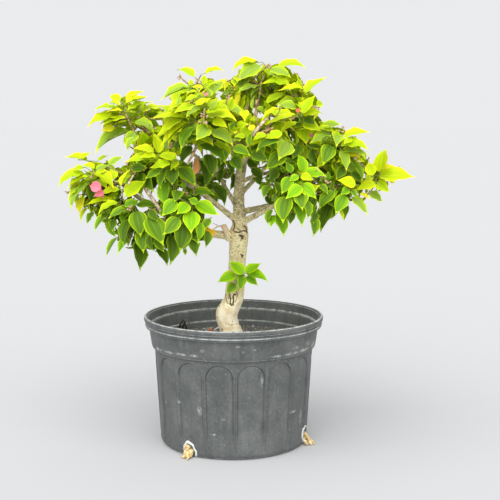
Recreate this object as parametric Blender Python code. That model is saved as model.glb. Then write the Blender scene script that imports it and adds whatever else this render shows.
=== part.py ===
"""A bougainvillea grown on as a young bonsai in its round nursery pot.

Metres, +Z up. The origin is the centre of the pot's flat underside, and the side that faces -Y is the front.
The plant is a trunk, a leader, boughs and masses of foliage, each one closed solid, 0.3 mm clear of the next.
"""

import math
import random

import bmesh
import bpy
from mathutils import Vector
from mathutils.bvhtree import BVHTree

GAP = 0.0003

# Pot: turned shell, with a double bead at the rim and a collar above sixteen sunk arches.
POT_HEIGHT = 0.217
RIM_RADIUS = 0.1525
RIM_DEPTH = 0.018
LIP_WIDTH = 0.0075
COLLAR_TOP_RADIUS = 0.1445
COLLAR_FOOT_RADIUS = 0.1392
COLLAR_FOOT = 0.1655
BODY_TOP_RADIUS = 0.1348
BODY_FOOT_RADIUS = 0.1262
BODY_FOOT = 0.018
BASE_RADIUS = 0.1167
WALL = 0.0035
FLOOR_THICKNESS = 0.0045
POT_SEGMENTS = 48

ARCH_COUNT = 16
ARCH_TURN = math.radians(12.25)
ARCH_HALF_WIDTH = math.radians(9.6)
ARCH_TOP = 0.1585
ARCH_FOOT = 0.020
ARCH_DEPTH = 0.0011
ARCH_COLUMNS = 4

DRAIN_ANGLES = tuple(math.radians(a) for a in (-35.0, 76.0, 166.0, -125.0))
DRAIN_RADIUS = 0.0092
DRAIN_HEIGHT = 0.0115

SOIL_LEVEL = 0.1717

# Trunk stations: height of the ring, lean of its centre along X, radius.
TRUNK_STATIONS = (
    (0.1720, 0.0010, 0.0225),
    (0.1800, -0.0020, 0.0200),
    (0.1920, -0.0062, 0.0187),
    (0.2100, -0.0120, 0.0187),
    (0.2240, -0.0099, 0.0196),
    (0.2380, -0.0030, 0.0182),
    (0.2500, 0.0010, 0.0165),
    (0.2780, 0.0040, 0.0150),
    (0.3060, 0.0058, 0.0145),
    (0.3300, 0.0076, 0.0149),
    (0.3470, 0.0082, 0.0165),
    (0.3600, 0.0090, 0.0158),
    (0.3690, 0.0102, 0.0132),
    (0.3760, 0.0100, 0.0096),
)
TRUNK_SIDES = 14
ROOT_LOBES = 5
ROOT_LOBE_DEPTH = 0.09
BARK_LOBE_DEPTH = 0.025
FLARE_HEIGHT = 0.030
LIMB_SIDES = 6
LIMB_RINGS = 5

# Limbs: parent, place along the parent (0 foot to 1 tip), tip, bow of the middle, foot and tip radius.
LIMBS = {
    "leader": ("trunk", 1.0, (0.021, 0.0, 0.503), (-0.010, 0.0, 0.006), 0.0098, 0.0076),
    "bough_left_low": ("trunk", 0.80, (-0.180, -0.030, 0.438), (0.006, -0.012, -0.044), 0.0074, 0.0034),
    "bough_right_front": ("trunk", 0.96, (0.072, -0.052, 0.410), (0.002, 0.004, 0.000), 0.0058, 0.0034),
    "bough_left_upper": ("trunk", 0.965, (-0.085, -0.062, 0.450), (-0.002, -0.004, 0.008), 0.0052, 0.0030),
    "bough_right_back": ("leader", 0.12, (0.196, 0.004, 0.436), (0.010, 0.036, -0.004), 0.0050, 0.0028),
    "bough_left_back": ("leader", 0.16, (-0.040, 0.124, 0.498), (-0.018, -0.014, 0.006), 0.0040, 0.0028),
    "bough_back": ("leader", 0.34, (0.078, 0.092, 0.492), (0.002, 0.010, -0.006), 0.0045, 0.0028),
    "branch_back_low": (
        "bough_left_back", 0.30, (-0.052, 0.064, 0.425), (-0.006, 0.0, -0.006), 0.0033, 0.0028,
    ),
    "branch_low_left": (
        "bough_left_low", 0.58, (-0.134, -0.054, 0.388), (0.004, -0.006, -0.004), 0.0033, 0.0028,
    ),
    "branch_low_inner": (
        "bough_left_low", 0.34, (-0.073, -0.060, 0.377), (-0.002, -0.008, 0.0), 0.0034, 0.0028,
    ),
    "branch_upper_left": (
        "bough_left_upper", 0.56, (-0.128, 0.000, 0.512), (-0.012, 0.010, 0.012), 0.0033, 0.0028,
    ),
    "branch_back_left": (
        "bough_left_back", 0.50, (-0.112, 0.104, 0.457), (0.0, 0.010, 0.004), 0.0033, 0.0028,
    ),
    "branch_inner_left": (
        "bough_left_back", 0.45, (-0.070, 0.006, 0.492), (-0.004, 0.0, 0.004), 0.0033, 0.0028,
    ),
    "branch_inner_right": ("leader", 0.50, (0.052, -0.024, 0.458), (0.0, 0.0, 0.002), 0.0038, 0.0028),
    "branch_front_left": ("leader", 0.80, (-0.030, -0.070, 0.516), (0.0, -0.008, 0.006), 0.0042, 0.0028),
    "branch_front_right": ("leader", 0.72, (0.031, -0.072, 0.496), (0.0, -0.004, 0.004), 0.0038, 0.0028),
    "branch_top_left": ("leader", 0.90, (-0.040, 0.014, 0.570), (-0.002, 0.0, 0.008), 0.0042, 0.0028),
    "bough_top": ("leader", 1.0, (0.044, 0.004, 0.574), (-0.002, 0.0, 0.0), 0.0052, 0.0030),
    "bough_top_right": ("leader", 0.94, (0.086, -0.008, 0.545), (-0.002, 0.0, 0.004), 0.0046, 0.0028),
    "branch_back_top": ("bough_top", 0.35, (0.024, 0.072, 0.560), (0.0, 0.004, 0.006), 0.0034, 0.0028),
    "branch_mid_right": (
        "bough_right_back", 0.52, (0.148, -0.022, 0.470), (-0.006, -0.004, 0.008), 0.0033, 0.0028,
    ),
    "branch_low_right": (
        "bough_right_back", 0.66, (0.156, -0.018, 0.416), (-0.004, -0.006, -0.004), 0.0033, 0.0028,
    ),
    "branch_far_back": ("bough_back", 0.62, (0.098, 0.116, 0.474), (0.002, -0.004, 0.004), 0.0033, 0.0028),
    "branch_right_back": (
        "bough_right_back", 0.78, (0.196, 0.062, 0.446), (0.004, 0.006, 0.002), 0.0033, 0.0028,
    ),
}

PRUNED_STUB_TIP = (-0.0165, -0.0215, 0.3710)
PRUNED_STUB_RADIUS = 0.0047
DRY_TWIG_TIP = (-0.0350, -0.0270, 0.3650)
DRY_TWIG_RADIUS = 0.0011

# Masses: limb that carries it, centre, reach along X, Y and Z, droop of its leaves, shoots, seed.
MASSES = {
    "foliage_far_left": ("bough_left_low", (-0.222, -0.020, 0.424), (0.076, 0.068, 0.066), 0.47, 4, 59),
    "foliage_upper_left": ("branch_upper_left", (-0.170, 0.012, 0.540), (0.084, 0.074, 0.058), 0.32, 4, 60),
    "foliage_low_left": ("branch_low_left", (-0.158, -0.066, 0.378), (0.072, 0.068, 0.082), 0.87, 4, 59),
    "foliage_low_inner": ("branch_low_inner", (-0.088, -0.090, 0.378), (0.070, 0.066, 0.084), 0.90, 5, 69),
    "foliage_mid_left": ("bough_left_upper", (-0.126, -0.092, 0.474), (0.070, 0.070, 0.060), 0.52, 4, 64),
    "foliage_inner_left": (
        "branch_inner_left", (-0.106, -0.018, 0.526), (0.058, 0.058, 0.052), 0.50, 3, 68,
    ),
    "foliage_centre_right": (
        "branch_inner_right", (0.078, -0.040, 0.476), (0.052, 0.052, 0.052), 0.50, 3, 64,
    ),
    "foliage_front_left": (
        "branch_front_left", (-0.050, -0.115, 0.543), (0.070, 0.070, 0.064), 0.42, 4, 53,
    ),
    "foliage_top_left": ("branch_top_left", (-0.070, 0.018, 0.594), (0.066, 0.072, 0.052), 0.24, 4, 65),
    "foliage_top": ("bough_top", (0.052, 0.008, 0.603), (0.086, 0.072, 0.056), 0.22, 4, 59),
    "foliage_front_right": (
        "branch_front_right", (0.036, -0.115, 0.520), (0.066, 0.068, 0.064), 0.47, 4, 63,
    ),
    "foliage_top_right": ("bough_top_right", (0.114, -0.020, 0.566), (0.068, 0.072, 0.062), 0.37, 4, 47),
    "foliage_mid_right": ("branch_mid_right", (0.180, -0.050, 0.488), (0.066, 0.068, 0.062), 0.47, 4, 44),
    "foliage_far_right": ("bough_right_back", (0.240, 0.000, 0.452), (0.066, 0.064, 0.060), 0.47, 4, 53),
    "foliage_low_right": ("bough_right_front", (0.097, -0.095, 0.420), (0.060, 0.068, 0.070), 0.92, 4, 63),
    "foliage_low_far_right": (
        "branch_low_right", (0.164, -0.062, 0.424), (0.064, 0.066, 0.064), 0.87, 4, 62,
    ),
    "foliage_back_left": ("branch_back_left", (-0.160, 0.122, 0.470), (0.084, 0.078, 0.072), 0.57, 3, 53),
    "foliage_back": ("bough_left_back", (-0.030, 0.168, 0.532), (0.084, 0.072, 0.068), 0.47, 3, 68),
    "foliage_back_right": ("branch_far_back", (0.122, 0.152, 0.492), (0.080, 0.074, 0.072), 0.57, 3, 43),
    "foliage_far_back_right": (
        "branch_right_back", (0.208, 0.090, 0.452), (0.070, 0.068, 0.064), 0.57, 4, 51,
    ),
    "foliage_back_low": ("branch_back_low", (-0.046, 0.086, 0.440), (0.060, 0.060, 0.056), 0.72, 3, 49),
    "foliage_back_top": ("branch_back_top", (0.030, 0.098, 0.572), (0.080, 0.064, 0.060), 0.42, 3, 58),
    "foliage_inner_right": ("bough_back", (0.092, 0.092, 0.534), (0.060, 0.060, 0.058), 0.52, 3, 57),
}
LEAVES_PER_SHOOT = 7
LEAF_LENGTH = 0.056
LEAF_WIDTH_RATIO = 0.62
LEAF_WIDEST = 0.45
LEAF_BEND = 0.10
LEAF_TRIES = 8
CELL_MARGIN = 0.0008
LIMB_MARGIN = 0.0008
STEM_SIDES = 5
STEM_STRAIGHT = 0.006
TWIG_SIDES = 3
TWIG_RADII = (0.0018, 0.00165, 0.0015)
STEM_TIP_RADIUS = 0.0022
GOLDEN_ANGLE = math.pi * (3.0 - math.sqrt(5.0))

SPROUT_FOOT = 0.2860
SPROUT_ANGLE = math.radians(16.0)
SPROUT_STEM = 0.010
SPROUT_RADII = (0.0024, 0.0022, 0.0018)
SPROUT_LEAVES = 8
SPROUT_LEAF_LENGTH = 0.042
SPROUT_RISE = 0.7
SPROUT_LEAN = 0.25
SPROUT_SEED = 5

# Roots out of the front drain holes: angle of the hole, turn of the root, reach past the wall.
DRAIN_ROOTS = {
    "drain_root_left": (DRAIN_ANGLES[0], math.radians(5.0), 0.024),
    "drain_root_right": (DRAIN_ANGLES[1], math.radians(2.0), 0.010),
}
DRAIN_ROOT_RADIUS = 0.0030

COLOURS = {
    "pot": ((0.040, 0.042, 0.045), 0.55),
    "soil": ((0.050, 0.040, 0.032), 0.95),
    "bark": ((0.440, 0.370, 0.250), 0.85),
    "old_bark": ((0.300, 0.260, 0.180), 0.88),
    "cut_wood": ((0.620, 0.500, 0.320), 0.80),
    "root": ((0.600, 0.430, 0.180), 0.80),
    "leaf": ((0.150, 0.360, 0.030), 0.50),
}


def clear_scene():
    """Remove every object, so that the model starts from nothing."""
    for obj in list(bpy.data.objects):
        bpy.data.objects.remove(obj, do_unlink=True)


def material(name):
    """A Principled material in the colour and roughness of one kind of surface."""
    found = bpy.data.materials.get(name)
    if found:
        return found
    colour, roughness = COLOURS[name]
    made = bpy.data.materials.new(name)
    made.use_nodes = True
    shader = made.node_tree.nodes["Principled BSDF"]
    shader.inputs["Base Color"].default_value = (*colour, 1.0)
    shader.inputs["Roughness"].default_value = roughness
    shader.inputs["Metallic"].default_value = 0.0
    return made


def add_object(name, verts, faces, finish=None, smooth=False):
    """Link one mesh object, its faces turned outward."""
    mesh = bpy.data.meshes.new(name)
    mesh.from_pydata([tuple(v) for v in verts], [], faces)
    shell = bmesh.new()
    shell.from_mesh(mesh)
    bmesh.ops.recalc_face_normals(shell, faces=shell.faces)
    shell.to_mesh(mesh)
    shell.free()
    obj = bpy.data.objects.new(name, mesh)
    bpy.context.collection.objects.link(obj)
    if finish:
        mesh.materials.append(material(finish))
    if smooth:
        mesh.shade_smooth()
        mesh.set_sharp_from_angle(angle=math.radians(40.0))
    return obj


def boolean(target, operation, cutters, solver="EXACT"):
    """Apply one Boolean between the target and a collection of cutters, then remove the cutters."""
    group = bpy.data.collections.new("cutters")
    for cutter in cutters:
        group.objects.link(cutter)
    modifier = target.modifiers.new(operation.lower(), "BOOLEAN")
    modifier.operation = operation
    modifier.operand_type = "COLLECTION"
    modifier.collection = group
    modifier.solver = solver
    bpy.context.view_layer.update()
    evaluated = target.evaluated_get(bpy.context.evaluated_depsgraph_get())
    result = bpy.data.meshes.new_from_object(evaluated)
    target.modifiers.remove(modifier)
    target.data = result
    for cutter in list(cutters):
        bpy.data.objects.remove(cutter, do_unlink=True)
    bpy.data.collections.remove(group)


def keep_largest_shell(obj):
    """Drop any loose scrap beside the shell with the most faces."""
    shell = bmesh.new()
    shell.from_mesh(obj.data)
    unseen = set(shell.faces)
    groups = []
    while unseen:
        front = [unseen.pop()]
        group = list(front)
        while front:
            for edge in front.pop().edges:
                for face in edge.link_faces:
                    if face in unseen:
                        unseen.discard(face)
                        group.append(face)
                        front.append(face)
        groups.append(group)
    groups.sort(key=len)
    for group in groups[:-1]:
        bmesh.ops.delete(shell, geom=group, context="FACES")
    shell.to_mesh(obj.data)
    shell.free()


def turn_profile(profile, segments, turn=0.0):
    """Points and faces of a solid turned about Z from a profile that starts and ends on the axis."""
    rings = profile[1:-1]
    verts = [(0.0, 0.0, profile[0][1])]
    for radius, height in rings:
        for k in range(segments):
            angle = turn + 2.0 * math.pi * k / segments
            verts.append((radius * math.cos(angle), radius * math.sin(angle), height))
    verts.append((0.0, 0.0, profile[-1][1]))
    faces = []
    last = len(verts) - 1
    top = 1 + (len(rings) - 1) * segments
    for k in range(segments):
        n = (k + 1) % segments
        faces.append((0, 1 + n, 1 + k))
        faces.append((last, top + k, top + n))
        for ring in range(len(rings) - 1):
            low = 1 + ring * segments
            high = low + segments
            faces.append((low + k, low + n, high + n, high + k))
    return verts, faces


def wall_radius(height):
    """Outer radius of the plain body wall at a height."""
    share = (height - BODY_FOOT) / (COLLAR_FOOT - BODY_FOOT)
    return BODY_FOOT_RADIUS + (BODY_TOP_RADIUS - BODY_FOOT_RADIUS) * share


def pot_profile():
    """Outline of the pot's wall, from the axis under the floor round to the axis above it."""
    rim_foot = POT_HEIGHT - RIM_DEPTH
    lip = RIM_RADIUS - LIP_WIDTH
    ledge = COLLAR_FOOT_RADIUS - WALL
    return (
        (0.0, 0.0),
        (BASE_RADIUS, 0.0),
        (BODY_FOOT_RADIUS - 0.0020, 0.0070),
        (BODY_FOOT_RADIUS, BODY_FOOT),
        (wall_radius(COLLAR_FOOT - 0.002), COLLAR_FOOT - 0.002),
        (COLLAR_FOOT_RADIUS, COLLAR_FOOT + 0.0010),
        (COLLAR_TOP_RADIUS, rim_foot),
        (RIM_RADIUS - 0.0024, rim_foot + 0.0010),
        (RIM_RADIUS - 0.0018, rim_foot + 0.0050),
        (RIM_RADIUS - 0.0028, rim_foot + 0.0078),
        (RIM_RADIUS, POT_HEIGHT - 0.0060),
        (RIM_RADIUS - 0.0012, POT_HEIGHT),
        (lip, POT_HEIGHT - 0.0010),
        (lip - 0.0022, POT_HEIGHT - 0.0145),
        (COLLAR_TOP_RADIUS - WALL - 0.0016, POT_HEIGHT - 0.0160),
        (ledge + 0.0006, 0.1790),
        (ledge - 0.0042, 0.1775),
        (BODY_FOOT_RADIUS - WALL - 0.0010, BODY_FOOT),
        (BASE_RADIUS - 0.0010, FLOOR_THICKNESS),
        (0.0, FLOOR_THICKNESS),
    )


def inner_radius(height):
    """Inner radius of the pot at a height below the soil level."""
    foot = (BASE_RADIUS - 0.0010, FLOOR_THICKNESS)
    corner = (BODY_FOOT_RADIUS - WALL - 0.0010, BODY_FOOT)
    top = (COLLAR_FOOT_RADIUS - WALL - 0.0042, 0.1775)
    low, high = (foot, corner) if height < BODY_FOOT else (corner, top)
    return low[0] + (high[0] - low[0]) * (height - low[1]) / (high[1] - low[1])


def around(radius, angle, height):
    """A point about the pot's axis, its angle counted from the front towards +X."""
    return Vector((radius * math.sin(angle), -radius * math.cos(angle), height))


def arch_cutter(centre):
    """A door-shaped block whose back follows the body wall at the arch's depth."""
    verts = []
    for column in range(ARCH_COLUMNS + 1):
        across = -math.cos(math.pi * column / ARCH_COLUMNS)
        angle = centre + ARCH_HALF_WIDTH * across
        crown = BODY_TOP_RADIUS * ARCH_HALF_WIDTH
        top = ARCH_TOP - crown + crown * math.sqrt(max(0.0, 1.0 - across * across))
        for height in (ARCH_FOOT, top):
            for outward in (-ARCH_DEPTH, 0.010):
                verts.append(around(wall_radius(height) + outward, angle, height))
    faces = [(0, 1, 3, 2)]
    for column in range(ARCH_COLUMNS):
        a = 4 * column
        b = a + 4
        faces.append((a, a + 2, b + 2, b))
        faces.append((a + 1, b + 1, b + 3, a + 3))
        faces.append((a, b, b + 1, a + 1))
        faces.append((a + 2, a + 3, b + 3, b + 2))
    end = 4 * ARCH_COLUMNS
    faces.append((end, end + 2, end + 3, end + 1))
    return add_object("arch_cutter", verts, faces)


def drain_axis(angle):
    """Direction in which a drain hole opens, out and a little down."""
    return around(1.0, angle, -0.45).normalized()


def drain_cutter(angle):
    """A short round bar through the pot's bottom corner."""
    centre = around(BASE_RADIUS + 0.0045, angle, DRAIN_HEIGHT)
    along = drain_axis(angle)
    ends = [centre - along * 0.0105, centre + along * 0.016]
    verts, faces = tube(ends, [DRAIN_RADIUS, DRAIN_RADIUS], 12)
    return add_object("drain_cutter", verts, faces)


def path_frames(path):
    """Heading and two cross directions at each point of a path, turned as little as possible."""
    frames = []
    last = len(path) - 1
    side = None
    for k in range(len(path)):
        heading = (path[min(k + 1, last)] - path[max(k - 1, 0)]).normalized()
        if side is None:
            side = heading.cross(Vector((0.0, 1.0, 0.0)))
            if side.length < 0.1:
                side = heading.cross(Vector((1.0, 0.0, 0.0)))
        side = (side - heading * side.dot(heading)).normalized()
        frames.append((heading, side, heading.cross(side)))
    return frames


def ring_faces(rings, sides):
    """Faces that join rings of points into one closed tube."""
    faces = [tuple(reversed(range(sides)))]
    for k in range(rings - 1):
        low = k * sides
        for j in range(sides):
            n = (j + 1) % sides
            faces.append((low + j, low + n, low + sides + n, low + sides + j))
    faces.append(tuple((rings - 1) * sides + j for j in range(sides)))
    return faces


def tube(points, radii, sides):
    """Points and faces of a closed tube along a path."""
    path = [Vector(p) for p in points]
    verts = []
    for k, (heading, side, other) in enumerate(path_frames(path)):
        for j in range(sides):
            angle = 2.0 * math.pi * j / sides
            verts.append(path[k] + (side * math.cos(angle) + other * math.sin(angle)) * radii[k])
    return verts, ring_faces(len(path), sides)


def bend(start, middle, end, share):
    """A point on the curve that leaves start towards middle and reaches end from it."""
    a = start.lerp(middle, share)
    b = middle.lerp(end, share)
    return a.lerp(b, share)


def trunk_path():
    """Centre points and radii of the trunk, from its flat cut to its fork."""
    points = [Vector((lean, 0.0, height)) for height, lean, radius in TRUNK_STATIONS]
    return points, [radius for height, lean, radius in TRUNK_STATIONS]


def trunk_shape(points, radii):
    """Points and faces of the trunk, its rings level, its outline lobed and most so at the root flare."""
    verts = []
    for k, point in enumerate(points):
        flare = max(0.0, 1.0 - (point.z - points[0].z) / FLARE_HEIGHT)
        depth = BARK_LOBE_DEPTH + (ROOT_LOBE_DEPTH - BARK_LOBE_DEPTH) * flare
        for j in range(TRUNK_SIDES):
            angle = 2.0 * math.pi * j / TRUNK_SIDES
            radius = radii[k] * (1.0 + depth * math.sin(ROOT_LOBES * angle + 0.12 * k))
            verts.append(point + Vector((radius * math.cos(angle), radius * math.sin(angle), 0.0)))
    return verts, ring_faces(len(points), TRUNK_SIDES)


def along_path(points, share):
    """A point on a path at a share of its number of steps."""
    place = share * (len(points) - 1)
    k = min(int(place), len(points) - 2)
    return points[k].lerp(points[k + 1], place - k)


def limb_paths():
    """Centre points and radii of the trunk and of every limb."""
    paths = {"trunk": trunk_path()}
    for name, (parent, place, tip, bow, foot_radius, tip_radius) in LIMBS.items():
        start = along_path(paths[parent][0], place)
        if place == 1.0:
            start = start.lerp(paths[parent][0][-2], 0.15)
        end = Vector(tip)
        middle = (start + end) / 2.0 + Vector(bow)
        shares = [k / (LIMB_RINGS - 1) for k in range(LIMB_RINGS)]
        points = [bend(start, middle, end, share) for share in shares]
        radii = [foot_radius + (tip_radius - foot_radius) * share for share in shares]
        paths[name] = (points, radii)
    return paths


def grown(radii, extra):
    """Radii made larger by one distance."""
    return [radius + extra for radius in radii]


def limb_shape(paths, name, extra=0.0):
    """Points and faces of one limb, or of its skin grown by a distance."""
    points, radii = paths[name]
    points = points[:-1] + [points[-1] + (points[-1] - points[-2]).normalized() * extra]
    if name == "trunk":
        return trunk_shape(points, grown(radii, extra))
    return tube(points, grown(radii, extra), LIMB_SIDES)


def shapes_touch(a, b):
    """Whether the surfaces of two shapes cross."""
    return bool(BVHTree.FromPolygons(*a).overlap(BVHTree.FromPolygons(*b)))


def make_pot():
    """The pot: a turned shell with sunk arches and drain holes."""
    verts, faces = turn_profile(pot_profile(), POT_SEGMENTS)
    pot = add_object("pot", verts, faces, "pot")
    step = 2.0 * math.pi / ARCH_COUNT
    boolean(pot, "DIFFERENCE", [arch_cutter(ARCH_TURN + step * k) for k in range(ARCH_COUNT)])
    boolean(pot, "DIFFERENCE", [drain_cutter(angle) for angle in DRAIN_ANGLES])
    keep_largest_shell(pot)
    pot.data.shade_smooth()
    pot.data.set_sharp_from_angle(angle=math.radians(35.0))


def make_soil():
    """The soil that fills the pot, clear of its wall and floor."""
    heights = (FLOOR_THICKNESS + GAP, BODY_FOOT, SOIL_LEVEL)
    profile = [(0.0, heights[0])]
    profile += [(inner_radius(height) - 2.0 * GAP, height) for height in heights]
    profile.append((0.0, heights[-1]))
    verts, faces = turn_profile(profile, POT_SEGMENTS)
    add_object("soil", verts, faces, "soil")


def make_limbs(paths):
    """The trunk and every limb, each cut 0.3 mm clear of those made before it."""
    made = []
    for name in paths:
        shape = limb_shape(paths, name)
        limb = add_object(name, *shape, "bark" if name == "trunk" else "old_bark", smooth=True)
        skins = []
        for earlier in made:
            skin = limb_shape(paths, earlier, GAP * 1.3)
            if shapes_touch(skin, shape):
                skins.append(add_object("skin", *skin))
        if skins:
            boolean(limb, "DIFFERENCE", skins)
            keep_largest_shell(limb)
        made.append(name)


def make_pruned_stub(paths):
    """The short pruned stub on the left of the fork, and the dry twig left on it."""
    foot = along_path(paths["trunk"][0], 0.84)
    tip = Vector(PRUNED_STUB_TIP)
    shape = tube([foot, tip], [PRUNED_STUB_RADIUS * 1.1, PRUNED_STUB_RADIUS], LIMB_SIDES)
    stub = add_object("pruned_stub", *shape, "cut_wood", smooth=True)
    skins = []
    for name in paths:
        skin = limb_shape(paths, name, GAP * 1.3)
        if shapes_touch(skin, shape):
            skins.append(add_object("skin", *skin))
    boolean(stub, "DIFFERENCE", skins)
    keep_largest_shell(stub)
    heading = (tip - foot).normalized()
    start = tip + heading * GAP
    end = Vector(DRY_TWIG_TIP)
    points = [start, start + heading * 0.004, start.lerp(end, 0.5) + Vector((0.0, 0.0, 0.002)), end]
    radii = [DRY_TWIG_RADIUS * 1.3, DRY_TWIG_RADIUS * 1.2, DRY_TWIG_RADIUS, DRY_TWIG_RADIUS * 0.8]
    add_object("dry_twig", *tube(points, radii, 5), "cut_wood")
    return shape


def cell_clearance(name, point):
    """Distance from a point to the nearest plane that parts its mass from the others."""
    centre, reach = Vector(MASSES[name][1]), MASSES[name][2]
    weight = (sum(reach) / 3.0) ** 2
    least = 1.0
    for other, row in MASSES.items():
        if other == name:
            continue
        far = Vector(row[1])
        power = (point - far).length_squared - (sum(row[2]) / 3.0) ** 2
        own = (point - centre).length_squared - weight
        least = min(least, (power - own) / (2.0 * (far - centre).length))
    return least


def in_space(name, points):
    """Whether all points lie in the mass's reach and on its own side of every parting plane."""
    centre, reach = MASSES[name][1], MASSES[name][2]
    for point in points:
        stretched = sum(((point[axis] - centre[axis]) / reach[axis]) ** 2 for axis in range(3))
        if stretched > 1.0 or cell_clearance(name, point) < CELL_MARGIN:
            return False
    return True


def leaf_shape(foot, heading, face, length, from_share=0.0):
    """A leaf in four faces: two above, bent back across its widest part, and two below."""
    across = heading.cross(face).normalized()
    half_width = length * LEAF_WIDTH_RATIO / 2.0
    middle = foot + heading * (length * LEAF_WIDEST)
    verts = [
        foot + heading * (length * from_share),
        middle + across * half_width,
        foot + heading * length - face * (length * LEAF_BEND),
        middle - across * half_width,
    ]
    return verts, [(0, 1, 3), (1, 2, 3), (0, 2, 1), (0, 3, 2)]


def mass_stem(paths, name):
    """Path of a mass's stem, from just clear of its limb's tip through its middle."""
    limb, centre, reach = MASSES[name][0], Vector(MASSES[name][1]), MASSES[name][2]
    points, radii = paths[limb]
    heading = (points[-1] - points[-2]).normalized()
    start = points[-1] + heading * GAP
    straight = start + heading * STEM_STRAIGHT
    away = centre - start
    end = centre + away.normalized() * (0.15 * min(reach))
    middle = start + heading * (0.45 * away.length)
    stem = [start, straight, bend(start, middle, end, 0.55), end]
    foot = radii[-1] * 0.96
    return stem, [foot + (STEM_TIP_RADIUS - foot) * share for share in (0.0, 0.12, 0.55, 1.0)]


def shoot_paths(name, stem, rng):
    """Curved shoots that leave the stem for points spread evenly about the mass."""
    centre, reach, droop, count = Vector(MASSES[name][1]), MASSES[name][2], MASSES[name][3], MASSES[name][4]
    back = (stem[0] - centre).normalized()
    phase = rng.uniform(0.0, 2.0 * math.pi)
    shoots = []
    for k in range(count):
        rise = (1.0 - 2.0 * (k + 0.5) / count) * 0.75 + 0.22
        level = math.sqrt(max(0.0, 1.0 - rise * rise))
        angle = phase + k * GOLDEN_ANGLE
        out = Vector((level * math.cos(angle), level * math.sin(angle), rise))
        out = (out - back * max(0.0, out.dot(back)) * 1.2).normalized()
        tip = centre + Vector([out[axis] * reach[axis] * rng.uniform(0.56, 0.68) for axis in range(3)])
        leave = along_path(stem, 0.35 + 0.6 * (k + 0.5) / count)
        lift = Vector((0.0, 0.0, 0.006 - 0.006 * droop))
        middle = leave.lerp(tip, 0.5) + lift
        shoots.append([bend(leave, middle, tip, share) for share in (0.0, 0.5, 1.0)])
    shoots.append([along_path(stem, share) for share in (0.5, 0.75, 1.0)])
    return shoots


def leaf_frames(name, shoot, rng):
    """Foot, heading, face direction and length of the leaves that spiral up one shoot."""
    centre, droop = Vector(MASSES[name][1]), MASSES[name][3]
    axis, side, other = path_frames(shoot)[-1]
    frames = []
    for k in range(LEAVES_PER_SHOOT):
        share = k / (LEAVES_PER_SHOOT - 1.0)
        foot = along_path(shoot, 0.22 + 0.75 * share)
        angle = math.pi / TWIG_SIDES + k * 2.0 * math.pi / TWIG_SIDES + rng.uniform(-0.25, 0.25)
        radial = side * math.cos(angle) + other * math.sin(angle)
        spread = math.radians(82.0 - 40.0 * share + rng.uniform(-10.0, 10.0))
        heading = axis * math.cos(spread) + radial * math.sin(spread)
        outward = (foot - centre) + Vector((centre.x, centre.y, 0.0)) * 0.25
        heading = heading + outward.normalized() * 0.25 + Vector((0.0, 0.0, -droop))
        heading.normalize()
        length = LEAF_LENGTH * rng.uniform(0.86, 1.08) * (1.0 - 0.14 * share)
        frames.append((foot, heading, outward.normalized(), length))
    return frames


def leaf_face(heading, outward, rng):
    """Direction that a leaf's upper side faces: up and outward, square to its heading."""
    wanted = Vector((0.0, 0.0, 0.8)) + outward + Vector([rng.uniform(-0.35, 0.35) for axis in range(3)])
    wanted = wanted - heading * wanted.dot(heading)
    return wanted.normalized()


def place_leaves(name, shoots, twigs, limbs, rng):
    """Leaves of a mass that stay in its space, off the limbs, off the other twigs and off each other."""
    placed = []
    blades = []
    twig_trees = [BVHTree.FromPolygons(*twig) for twig in twigs]
    for number, shoot in enumerate(shoots):
        others = [tree for k, tree in enumerate(twig_trees) if k != number]
        for foot, heading, outward, length in leaf_frames(name, shoot, rng):
            for attempt in range(LEAF_TRIES):
                face = leaf_face(heading, outward, rng)
                shape = leaf_shape(foot, heading, face, length)
                blade = BVHTree.FromPolygons(*leaf_shape(foot, heading, face, length, 0.11))
                free = in_space(name, shape[0]) and not limbs.overlap(BVHTree.FromPolygons(*shape))
                if free and not any(blade.overlap(earlier) for earlier in blades + others):
                    placed.append(shape)
                    blades.append(blade)
                    break
                shake = Vector([rng.uniform(-0.4, 0.4) for axis in range(3)])
                heading = (heading + shake).normalized()
                length *= 0.97
    return placed


def is_closed(mesh):
    """Whether every edge of a mesh has just two faces."""
    shell = bmesh.new()
    shell.from_mesh(mesh)
    closed = all(edge.is_manifold for edge in shell.edges)
    shell.free()
    return closed


def joined(name, parts, finish):
    """One solid from a list of shapes, the first of which carries the others."""
    for solver in ("EXACT", "MANIFOLD"):
        body = add_object(name, *parts[0], finish)
        others = [add_object("part", *part) for part in parts[1:]]
        boolean(body, "UNION", others, solver)
        keep_largest_shell(body)
        if is_closed(body.data):
            return
        bpy.data.objects.remove(body, do_unlink=True)


def mass_shapes(name, paths, limbs, seed):
    """The stem of a mass, its shoots and its leaves, as shapes that touch nothing else."""
    rng = random.Random(seed)
    stem, radii = mass_stem(paths, name)
    shoots = shoot_paths(name, stem, rng)
    woody = [tube(stem, radii, STEM_SIDES)]
    kept = [shoots[-1]]
    for shoot in shoots[:-1]:
        shape = tube(shoot, TWIG_RADII, TWIG_SIDES)
        if in_space(name, shoot[1:]) and not limbs.overlap(BVHTree.FromPolygons(*shape)):
            woody.append(shape)
            kept.append(shoot)
    return woody, place_leaves(name, kept, woody, limbs, rng)


def make_masses(paths, limbs):
    """Every mass of foliage: a stem, its shoots and their leaves, fused."""
    for name, row in MASSES.items():
        woody, leaves = mass_shapes(name, paths, limbs, row[5])
        joined(name, woody + leaves, "leaf")


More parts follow.
